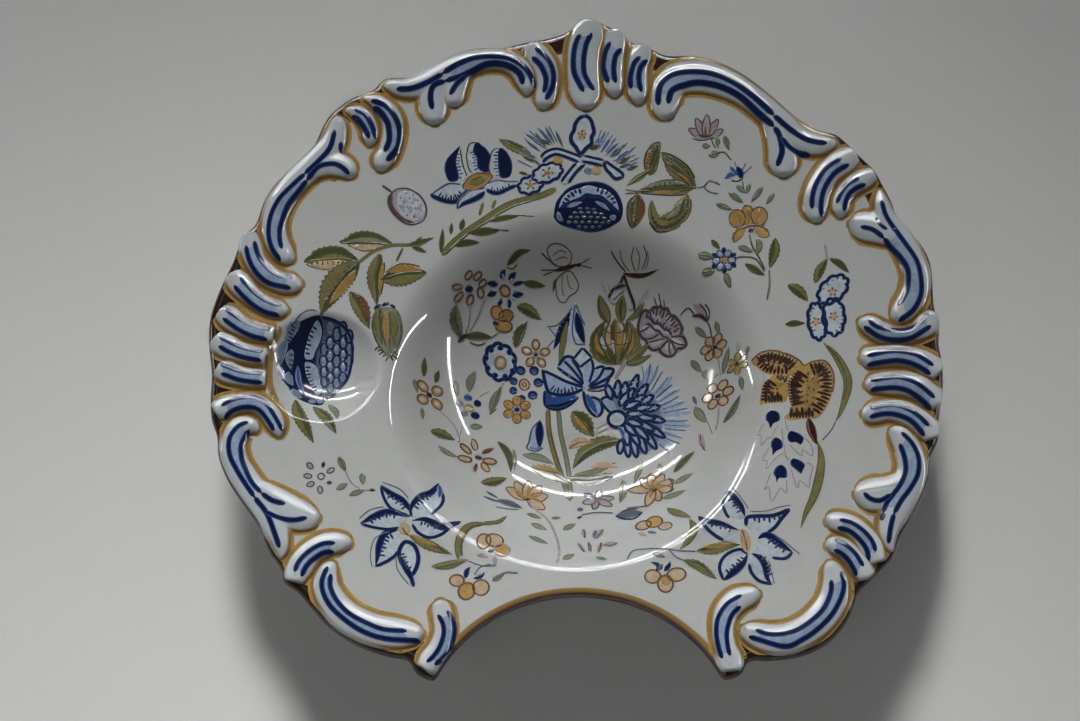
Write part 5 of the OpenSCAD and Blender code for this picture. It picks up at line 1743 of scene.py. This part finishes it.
class BOWL_OT_mouldings(Operator):
    """Models the relief mouldings of the border"""

    bl_idname = "bowl.mouldings"
    bl_label = "Relief mouldings"

    def bodies(self, tables):
        """Closed bodies along the strands, sunk into the flange."""
        rise = mm("relief_h") * RELIEF_SHARE
        bm = bmesh.new()
        for table in tables:
            left = left_of(table[:, :2])
            last = len(table) - 1
            made = bmesh.ops.create_grid(bm, x_segments=last, y_segments=STRAND_SIDES, size=0.5)["verts"]
            for vert in made:
                i = round((vert.co.x + 0.5) * last)
                turn = math.pi * (vert.co.y + 0.5)
                half = table[i, 2]
                x, y = table[i, :2] + left[i] * half * math.cos(turn)
                lift = rise * min(1, half / FULL_FROM) * max(0, math.sin(turn)) ** SHOULDERS
                vert.co = (x, y, flange_top(math.hypot(x, y)) + lift)
            rim = [e for e in {e for v in made for e in v.link_edges} if e.is_boundary]
            skirt = bmesh.ops.extrude_edge_only(bm, edges=rim)["geom"]
            low = [g for g in skirt if isinstance(g, bmesh.types.BMVert)]
            bmesh.ops.translate(bm, vec=(0, 0, -SINK), verts=low)
            bottom = [g for g in skirt if isinstance(g, bmesh.types.BMEdge) and g.is_boundary]
            bmesh.ops.edgeloop_fill(bm, edges=bottom)
        bmesh.ops.recalc_face_normals(bm, faces=bm.faces)
        bmesh.ops.scale(bm, vec=(MM, MM, MM), verts=bm.verts)
        return bm

    def joined(self, context, name, bm):
        """One soft mesh from the strands' bodies."""
        rough = bpy.data.meshes.new(name + "_strands")
        bm.to_mesh(rough)
        bm.free()
        helper = bpy.data.objects.new(name + "_strands", rough)
        context.scene.collection.objects.link(helper)
        clay = helper.modifiers.new("Join the strands", "REMESH")
        clay.mode = "VOXEL"
        clay.voxel_size = VOXEL * MM
        soft = helper.modifiers.new("Soften", "SMOOTH")
        soft.factor = 0.5
        soft.iterations = 5
        context.view_layer.update()
        done = helper.evaluated_get(context.evaluated_depsgraph_get())
        mesh = bpy.data.meshes.new_from_object(done)
        mesh.name = name
        bpy.data.objects.remove(helper)
        bpy.data.meshes.remove(rough)
        return mesh

    def execute(self, context):
        loop, out, _, _ = rim_outline(sizes().columns)
        # White glaze over the relief, with an ochre line fired on the lower flank
        glaze = fired_glaze("tin_glaze_relief", colour_of("relief"), pool=0.03, rough=0.05, bump=0.25,
                            painted=(colour_of("ochre"),))
        for node, strands in MOULDINGS.items():
            name = "relief_" + node
            tables = [strand_table(strand) for strand in strands]
            mesh = self.joined(context, name, self.bodies(tables))
            co = np.empty(len(mesh.vertices) * 3)
            mesh.vertices.foreach_get("co", co)
            spots = co.reshape(-1, 3)
            xy = keep_inside(spots[:, :2] / MM, loop, out, RIM_LAND)
            spots[:, :2] = xy * MM
            mesh.vertices.foreach_set("co", spots.ravel())
            paint = np.zeros((len(xy), 4))
            flank = ease(depth_inside(xy, tables), *OCHRE_FLANK)
            paint[:, 0] = flank * ease(distance_to(xy, loop), *OCHRE_FROM_RIM)
            paint[:, 3] = 1
            layer = mesh.attributes.new("paint", "FLOAT_COLOR", "POINT")
            layer.data.foreach_set("color", paint.ravel())
            add_mesh(name, mesh, glaze, node)
        return {"FINISHED"}


# Height above the table, in metres, from which the ground is felt for
FEELER_HEIGHT = 0.2


class Ground:
    """The glazed surface that the brush lays its strokes on."""

    def __init__(self, relief):
        graph = bpy.context.evaluated_depsgraph_get()
        names = ["dish"] + ["relief_" + node for node in MOULDINGS if relief]
        self.trees = [BVHTree.FromObject(bpy.data.objects[name], graph) for name in names]

    def at(self, x, y, lift):
        """Point in millimetres on top of the surface at a place in plan, raised by the lift."""
        best = None
        start = Vector((x * MM, y * MM, FEELER_HEIGHT))
        for tree in self.trees:
            spot, normal, _, _ = tree.ray_cast(start, Vector((0, 0, -1)))
            if spot is not None and (best is None or spot.z > best[0].z):
                best = (spot, normal)
        if best is None:
            raise ValueError("a mark lies off the bowl at %g, %g" % (x, y))
        return best[0] / MM + best[1] * lift


def motifs_of(table):
    """The motifs of a painting: the place of each, and its marks as colour, kind and numbers."""
    motifs = []
    for line in table.strip().splitlines():
        words = line.split()
        if words[0] == "#":
            continue
        if words[0] == "at":
            motifs.append(((float(words[1]), float(words[2])), []))
            continue
        marks = motifs[-1][1]
        if words[0].isalpha():
            colour, kind = words[:2]
            words = ["/"] + words[2:]
        for word in words:
            if word == "/":
                marks.append((colour, kind, []))
            else:
                marks[-1][2].append(float(word))
    return motifs


def pairs_of(numbers):
    """Points from a list of x and y in turn."""
    return list(zip(numbers[::2], numbers[1::2]))


def turned(x, y, turn, spots):
    """Spots turned by degrees about their own centre, which goes to x, y."""
    c = math.cos(math.radians(turn))
    s = math.sin(math.radians(turn))
    return [(x + c * p - s * q, y + s * p + c * q) for p, q in spots]


def oval(x, y, long, short, turn):
    """Twelve points round an oval."""
    turns = [k * math.pi / 6 for k in range(12)]
    return turned(x, y, turn, [(long * math.cos(t), short * math.sin(t)) for t in turns])


def frill(x, y, long, short, turn, count, depth):
    """Six points for each scallop round an oval."""
    spots = []
    for k in range(6 * round(count)):
        t = math.pi * k / (3 * round(count))
        size = 1 - depth * (1 - abs(math.sin(math.pi * k / 6)))
        spots.append((long * size * math.cos(t), short * size * math.sin(t)))
    return turned(x, y, turn, spots)


def left_of(table):
    """Unit vectors to the left of a run."""
    step = np.gradient(table, axis=0)
    return np.stack((-step[:, 1], step[:, 0]), axis=1) / np.maximum(np.hypot(*step.T), 1e-6)[:, None]


# Thickness of the paint, and how far each mark lies above the one before, in millimetres
PAINT_SKIN = 0.02
PAINT_STEP = 0.006
# Height of the painting above the glaze, and above the relief
ON_GLAZE = 0.05
ON_RELIEF = 0.12
# How far the wash lies below its pair of lines, and the share of its length left bare at each end
PAIR_DROP = 0.04
PAIR_TRIM = 0.07
# Step along a stroke of the brush
BRUSH_STEP = 0.6
# Land between the outlines and the rim's edge, and where an outline's round cap has its points
OUTLINE_LAND = 1.6
CAP_SHARES = (0.4, 0.7, 0.9, 0.99)
# How much a narrow mark bleeds at its edges, as a share of what a wide one does
NARROW_BLEED = 0.4
# Share of the width from which a point counts as lying on the edge
EDGE_FROM = 0.01
# Size of a stroke's faces, and the least and the most of them along and across it
FACE_SIZE = 0.8
STROKE_LONG = (5, 160)
STROKE_WIDE = (2, 10)
# A stroke's round ends: the square of their own width, as a share, and how fast it grows
END_SQUARE = 0.1
END_GROWTH = 0.6
# The same for a wash, whose faces are a millimetre long and wide
WASH_LONG = (5, 90)
WASH_WIDE = (2, 40)
# Faces across an outline of the relief, and across the brown band
OUTLINE_WIDE = 14
BAND_WIDE = 6
# A leaf: the power that moves its widest place towards its foot, the power of its sides and its tips' share
LEAF_SKEW = 0.85
LEAF_SIDES = 0.8
LEAF_TIP = 0.04
# How far a big leaf's edge goes in and out, as a share of its half width
LEAF_NOTCH = 0.1
# Every other tooth of a comb is shorter by this share
SHORT_TOOTH = 0.3
# A petal: where it is widest and where it narrows, from its foot, and its narrower width
PETAL_WIDEST = 0.35
PETAL_NARROWS = 0.75
PETAL_NARROW_W = 0.8
# The colour inside a petal for each colour of its outline
PETALS = {"cobalt": "wash", "russet": "peach", "purple": "mauve"}
# Leaves at least this wide, in half width, have notched edges and one half in another shade
BIG_LEAF = 2.2
LEAF_SHADES = {"olive": "green", "green": "olive", "sage": "green"}
# Place and half width of that other shade, as shares of the leaf's half width
SHADE_AT = 0.42
SHADE_W = 0.5


def within(count, limits):
    """A whole count between the least and the most."""
    return max(limits[0], min(limits[1], round(count)))


class Brush:
    """Lays painted marks, in one mesh for each colour."""

    def __init__(self, ground):
        self.ground = ground
        self.motif_at = (0.0, 0.0)
        self.meshes = {}

    def lay(self, colour, long, wide, lift, place):
        """A grid of long by wide faces, set out by place(u, v) from the motif's place, laid on the ground."""
        if colour not in self.meshes:
            self.meshes[colour] = bmesh.new()
            self.meshes[colour].verts.layers.float_color.new("paint")
        bm = self.meshes[colour]
        edges = bm.verts.layers.float_color["paint"]
        bleed = 1.0 if wide > STROKE_WIDE[0] else NARROW_BLEED
        for vert in bmesh.ops.create_grid(bm, x_segments=long, y_segments=wide, size=0.5)["verts"]:
            across = vert.co.y + 0.5
            x, y = place(vert.co.x + 0.5, across)
            vert.co = self.ground.at(x + self.motif_at[0], y + self.motif_at[1], lift)
            vert[edges] = (bleed if min(across, 1 - across) < EDGE_FROM else 0.0, 0, 0, 1)

    def stroke(self, colour, points, half, lift, swell=False, closed=False):
        """A stroke along the points, even or swelling like a leaf."""
        run = smooth_run(points, BRUSH_STEP, closed)
        if closed:
            run.append(run[0])
        length = np.hypot(*np.diff(np.array(run), axis=0).T).sum()
        long = within(length / FACE_SIZE, STROKE_LONG)
        table = even_run(run, long)
        left = left_of(table)
        if closed:
            step = table[1] - table[-2]
            left[0] = left[-1] = np.array((-step[1], step[0])) / np.hypot(*step)
        wide = within(2 * half / FACE_SIZE, STROKE_WIDE)

        def place(u, v):
            i = round(u * long)
            w = half
            if swell:
                w = half * max(LEAF_TIP, math.sin(math.pi * u ** LEAF_SKEW)) ** LEAF_SIDES
                if half >= BIG_LEAF:
                    w *= 1 + LEAF_NOTCH * (i % 3 - 1)
            elif not closed:
                to_end = min(u, 1 - u) * length
                w = half * min(1, math.sqrt(END_SQUARE + to_end / half * END_GROWTH))
            return table[i] + left[i] * w * (2 * v - 1)

        self.lay(colour, long, wide, lift, place)

    def patch(self, colour, one, other, lift, trim=0.0):
        """A wash between two runs, stopped short of their ends by a share of the length."""
        span = max(math.dist(a, b) for a, b in zip(one, other))
        run = smooth_run(one, BRUSH_STEP)
        length = np.hypot(*np.diff(np.array(run), axis=0).T).sum()
        long = within(length, WASH_LONG)
        wide = within(span, WASH_WIDE)
        a = even_run(run, long)
        b = even_run(smooth_run(other, BRUSH_STEP), long)

        def place(u, v):
            i = round((trim + (1 - 2 * trim) * u) * long)
            return a[i] * (1 - v) + b[i] * v

        self.lay(colour, long, wide, lift, place)

    def outline(self, colour, strand, loop, out, reach, lift):
        """A band under a strand of relief that shows past its sides and its round tips."""
        table = strand_table(strand)
        table[:, 2] += reach
        for tip, next_in, given in ((0, 1, strand[0]), (-1, -2, strand[-1])):
            if given[2] <= ROUND_TIP:
                away = table[tip, :2] - table[next_in, :2]
                cap = [np.append(table[tip, :2] + share * reach * away / np.hypot(*away),
                                 table[tip, 2] * math.sqrt(1 - share ** 2)) for share in CAP_SHARES]
                table = np.concatenate((cap[::-1], table) if tip == 0 else (table, cap))
        left = left_of(table[:, :2])
        long = len(table) - 1
        wide = OUTLINE_WIDE
        across = np.linspace(-1, 1, wide + 1)
        half = table[:, 2]
        spots = table[:, None, :2] + left[:, None, :] * (half[:, None] * across[None, :])[:, :, None]
        spots = keep_inside(spots.reshape(-1, 2), loop, out, OUTLINE_LAND).reshape(long + 1, wide + 1, 2)
        self.lay(colour, long, wide, lift, lambda u, v: spots[round(u * long), round(v * wide)])

    def band(self, colour, one, other, lift):
        """A band between two edges with as many points."""
        long = len(one) - 1
        wide = BAND_WIDE

        def place(u, v):
            i = round(u * long)
            return one[i] * (1 - v) + other[i] * v

        self.lay(colour, long, wide, lift, place)

    def fill(self, colour, points, lift):
        """A filled outline, laid between its two sides from the first point to the middle one."""
        loop = smooth_run(points, BRUSH_STEP, closed=True)
        middle = points[len(points) // 2]
        cut = min(range(len(loop)), key=lambda i: math.dist(loop[i], middle))
        self.patch(colour, loop[:cut + 1], [loop[0]] + loop[:cut - 1:-1], lift)

    def comb(self, colour, half, points, teeth, reach, lift):
        """Short strokes to the left of an edge."""
        edge = even_run(smooth_run(points, BRUSH_STEP), teeth + 1)
        left = left_of(edge)
        for i in range(1, teeth + 1):
            tooth = reach * (1 - SHORT_TOOTH * (1 - i % 2))
            self.stroke(colour, [edge[i], edge[i] + left[i] * tooth], half, lift)

    def plume(self, colour, half, wide, foot, tip, lift):
        """An outlined petal with a paler colour inside."""
        side = np.array((foot[1] - tip[1], tip[0] - foot[0])) * wide / math.dist(foot, tip)
        near = foot * (1 - PETAL_WIDEST) + tip * PETAL_WIDEST
        far = foot * (1 - PETAL_NARROWS) + tip * PETAL_NARROWS
        slim = side * PETAL_NARROW_W
        points = [tuple(p) for p in (foot, near + side, far + slim, tip, far - slim, near - side)]
        self.fill(PETALS[colour], points, lift)
        self.stroke(colour, points, half, lift + PAINT_STEP / 2, closed=True)

    def ring_of_ovals(self, x, y, count, away, long, short, turn):
        """Outlines of petals round a centre."""
        for k in range(round(count)):
            at = turn + 360 * k / count
            a = math.radians(at)
            yield oval(x + away * math.cos(a), y + away * math.sin(a), long, short, at)

    def mark(self, colour, kind, numbers, lift):
        """One mark of a motif."""
        if kind == "line":
            self.stroke(colour, pairs_of(numbers[1:]), numbers[0], lift)
        elif kind == "leaf":
            self.stroke(colour, pairs_of(numbers[1:]), numbers[0], lift, swell=True)
            if numbers[0] >= BIG_LEAF and colour in LEAF_SHADES:
                points = np.array(pairs_of(numbers[1:]))
                side = points + left_of(points) * SHADE_AT * numbers[0]
                side[0] = points[0]
                side[-1] = points[-1]
                self.stroke(LEAF_SHADES[colour], [tuple(p) for p in side], SHADE_W * numbers[0],
                            lift + PAINT_STEP / 2, swell=True)
        elif kind == "loop":
            self.stroke(colour, pairs_of(numbers[1:]), numbers[0], lift, closed=True)
        elif kind == "ring":
            self.stroke(colour, oval(*numbers[1:]), numbers[0], lift, closed=True)
        elif kind == "fill":
            self.fill(colour, pairs_of(numbers), lift)
        elif kind == "disc":
            self.fill(colour, oval(*numbers), lift)
        elif kind == "dots":
            for x, y in pairs_of(numbers[2:]):
                self.fill(colour, oval(x, y, numbers[0], numbers[1], 0), lift)
        elif kind == "beads":
            for x, y in pairs_of(numbers[3:]):
                self.stroke(colour, oval(x, y, numbers[1], numbers[2], 0), numbers[0], lift, closed=True)
        elif kind == "frill":
            self.stroke(colour, frill(*numbers[1:]), numbers[0], lift, closed=True)
        elif kind == "plumes":
            for x, y, far_x, far_y in zip(*[iter(numbers[2:])] * 4):
                self.plume(colour, numbers[0], numbers[1], np.array((x, y)), np.array((far_x, far_y)), lift)
                lift += PAINT_STEP
        elif kind == "petals":
            for points in self.ring_of_ovals(*numbers):
                self.fill(colour, points, lift)
        elif kind == "daisy":
            for points in self.ring_of_ovals(*numbers[1:]):
                self.stroke(colour, points, numbers[0], lift, closed=True)
        elif kind == "comb":
            self.comb(colour, numbers[0], pairs_of(numbers[1:-2]), round(numbers[-2]), numbers[-1], lift)
        elif kind == "pair":
            points = pairs_of(numbers[1:])
            middle = len(points) // 2
            self.patch("wash", points[:middle], points[middle:], lift - PAIR_DROP, trim=PAIR_TRIM)
            self.stroke(colour, points[:middle], numbers[0], lift)
            self.stroke(colour, points[middle:], numbers[0], lift)
        else:
            raise ValueError("unknown kind of mark: " + kind)

    def motifs(self, table, lift):
        """Paints a table's motifs; each mark lies a little above the one before."""
        for at, marks in motifs_of(table):
            self.motif_at = at
            height = lift
            for colour, kind, numbers in marks:
                self.mark(colour, kind, numbers, height)
                height += PAINT_STEP * (len(numbers) // 4 if kind == "plumes" else 1)

    def finish(self, region):
        """Closes each colour's mesh and adds it as a piece."""
        for colour, bm in self.meshes.items():
            bm.normal_update()
            bmesh.ops.reverse_faces(bm, faces=[face for face in bm.faces if face.normal.z < 0])
            piece = add_piece(region + "_" + colour, bm, paint_material(colour))
            skin = piece.modifiers.new("Thickness of the paint", "SOLIDIFY")
            skin.thickness = PAINT_SKIN * MM
            skin.offset = -1
            flat = piece.modifiers.new("Flat edges", "WEIGHTED_NORMAL")
            flat.mode = "FACE_AREA"
            flat.weight = 100


def paint_area(region, table, lift, relief=False):
    """Paints a table's motifs as the pieces of one area."""
    brush = Brush(Ground(relief))
    brush.motifs(table, lift)
    brush.finish(region)


class BOWL_OT_outline_paint(Operator):
    """Paints the ochre lines round the mouldings and the brown rim between them"""

    bl_idname = "bowl.outline_paint"
    bl_label = "Outline painting"

    def execute(self, context):
        loop, out, is_notch, _ = rim_outline(sizes().columns)
        # How far the ochre shows past the relief, where the brown band runs, and their heights
        reach = 1.3
        brown_from = 0.9
        brown_to = 11
        ochre_lift = 0.1
        brown_lift = 0.04
        brush = Brush(Ground(False))
        for strands in MOULDINGS.values():
            for strand in strands:
                brush.outline("ochre", strand, loop, out, reach, ochre_lift)
        rim = loop[~is_notch]
        inward = -out[~is_notch]
        brush.band("brown", rim + brown_from * inward, rim + brown_to * inward, brown_lift)
        brush.finish("outline")
        return {"FINISHED"}


class BOWL_OT_border_paint(Operator):
    """Paints the cobalt strokes of the border"""

    bl_idname = "bowl.border_paint"
    bl_label = "Border painting"

    def execute(self, context):
        paint_area("border", BORDER_PAINT, ON_RELIEF, relief=True)
        return {"FINISHED"}


class BOWL_OT_flange_paint(Operator):
    """Paints the flowers on the flange"""

    bl_idname = "bowl.flange_paint"
    bl_label = "Flange painting"

    def execute(self, context):
        paint_area("flange", FLANGE_PAINT, ON_GLAZE)
        return {"FINISHED"}


class BOWL_OT_soap_paint(Operator):
    """Paints the peony in the soap hollow"""

    bl_idname = "bowl.soap_paint"
    bl_label = "Soap hollow painting"

    def execute(self, context):
        paint_area("soap", SOAP_PAINT, ON_GLAZE)
        return {"FINISHED"}


class BOWL_OT_well_paint(Operator):
    """Paints the bouquet and the wreath in the well"""

    bl_idname = "bowl.well_paint"
    bl_label = "Well painting"

    def execute(self, context):
        paint_area("well", WELL_PAINT, ON_GLAZE)
        return {"FINISHED"}


class BOWL_OT_stage(Operator):
    """Sets the floor, the soft lamps and the camera"""

    bl_idname = "bowl.stage"
    bl_label = "Stage"

    def lamp(self, scene, name, width, height, power):
        """A rectangular lamp in the scene."""
        lamp = bpy.data.lights.new(name, "AREA")
        lamp.shape = "RECTANGLE"
        lamp.size = width
        lamp.size_y = height
        lamp.energy = power
        stand = bpy.data.objects.new(name, lamp)
        scene.collection.objects.link(stand)
        return stand

    def lay_floor(self, scene):
        """A plain pale sheet of paper under the bowl."""
        floor_half = 3.0
        bm = bmesh.new()
        bmesh.ops.create_grid(bm, x_segments=1, y_segments=1, size=floor_half)
        mesh = bpy.data.meshes.new("floor")
        bm.to_mesh(mesh)
        bm.free()
        floor = bpy.data.objects.new("floor", mesh)
        scene.collection.objects.link(floor)
        paper = bpy.data.materials.new("matt_paper_floor")
        paper.use_nodes = True
        sheet = paper.node_tree.nodes["Principled BSDF"]
        sheet.inputs["Base Color"].default_value = linear("#e0e0de")
        sheet.inputs["Roughness"].default_value = 0.9
        mesh.materials.append(paper)

    def light(self, scene):
        """A dim room, soft boxes and narrow strips."""
        world = bpy.data.worlds.new("soft_room")
        world.use_nodes = True
        room = world.node_tree.nodes["Background"]
        room.inputs["Color"].default_value = (1, 1, 1, 1)
        room.inputs["Strength"].default_value = 0.1
        scene.world = world

        # Soft boxes with a honeycomb light the bowl and don't show in the glaze:
        # (name, place, spot it is aimed at, width, height, spread in degrees, watts)
        boxes = (
            ("soft_box_back", (-0.3, 1.7, 2.1), (-0.08, -0.45, 0.05), 0.8, 0.8, 22, 2.3),
            ("soft_box_front", (-0.6, -1.1, 1.6), (-0.05, -0.15, 0.05), 0.9, 0.9, 120, 1.0),
        )
        for name, at, aim, width, height, spread, power in boxes:
            stand = self.lamp(scene, name, width, height, power)
            stand.data.spread = math.radians(spread)
            stand.location = at
            stand.rotation_euler = (Vector(aim) - stand.location).to_track_quat("-Z", "Y").to_euler()
            stand.visible_glossy = False

        # Narrow strips face the bowl and show only as thin lights in the glaze: (name, end, other end, watts)
        strips = (
            ("strip_back_high", (0.42, 0.9, 1.02), (-0.9, 0.9, 0.74), 8.0),
            ("strip_back_low", (0.42, 0.9, 0.70), (-0.8, 0.9, 0.44), 8.0),
            ("strip_right", (1.0, -0.12, 0.36), (1.0, 0.8, 0.73), 4.0),
            ("strip_left", (-1.0, 0.16, 0.31), (-1.0, 0.42, 0.37), 1.2),
        )
        strip_w = 0.03
        centre = Vector((0, 0, 0.03))
        for name, one, other, power in strips:
            run = Vector(other) - Vector(one)
            stand = self.lamp(scene, name, run.length, strip_w, power)
            stand.visible_diffuse = False
            stand.location = (Vector(one) + Vector(other)) / 2
            along = run.normalized()
            back = (stand.location - centre).normalized()
            back = (back - along * back.dot(along)).normalized()
            stand.rotation_euler = Matrix((along, back.cross(along), back)).transposed().to_euler()

    def set_camera(self, scene):
        """The photograph's view: from the notch's side, 23 degrees from straight above."""
        lens = bpy.data.cameras.new("photo_camera")
        lens.sensor_width = 36
        lens.lens = 85
        lens.clip_end = 20
        camera = bpy.data.objects.new("photo_camera", lens)
        camera.location = (-0.0162, -0.4512, 1.1473)
        camera.rotation_euler = (math.radians(23), 0, 0)
        scene.collection.objects.link(camera)
        scene.camera = camera

    def execute(self, context):
        scene = context.scene
        self.lay_floor(scene)
        self.light(scene)
        self.set_camera(scene)
        scene.view_settings.view_transform = "Standard"
        return {"FINISHED"}


class BOWL_PT_parts(Panel):
    """Lists the bowl's pieces in the order in which they are made"""

    bl_label = "Barber's Bowl"
    bl_space_type = "VIEW_3D"
    bl_region_type = "UI"
    bl_category = "Bowl"

    def draw(self, context):
        for step in STEPS:
            self.layout.operator(step.bl_idname)


STEPS = (BOWL_OT_dish, BOWL_OT_foot_ring, BOWL_OT_mouldings, BOWL_OT_outline_paint, BOWL_OT_border_paint,
         BOWL_OT_flange_paint, BOWL_OT_soap_paint, BOWL_OT_well_paint, BOWL_OT_stage)
CLASSES = (BowlSizes, BowlColours) + STEPS + (BOWL_PT_parts,)


def register():
    """Adds the classes and the settings to Blender."""
    for cls in CLASSES:
        bpy.utils.register_class(cls)
    bpy.types.Scene.bowl_sizes = PointerProperty(type=BowlSizes)
    bpy.types.Scene.bowl_colours = PointerProperty(type=BowlColours)


def unregister():
    """Takes the settings and the classes out again."""
    del bpy.types.Scene.bowl_colours
    del bpy.types.Scene.bowl_sizes
    for cls in reversed(CLASSES):
        bpy.utils.unregister_class(cls)


def main():
    """Makes the bowl and its stage."""
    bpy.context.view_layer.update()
    register()
    bpy.ops.bowl.dish()
    bpy.ops.bowl.foot_ring()
    bpy.ops.bowl.mouldings()
    bpy.ops.bowl.outline_paint()
    bpy.ops.bowl.border_paint()
    bpy.ops.bowl.flange_paint()
    bpy.ops.bowl.soap_paint()
    bpy.ops.bowl.well_paint()
    bpy.ops.bowl.stage()


if __name__ == "__main__":
    main()
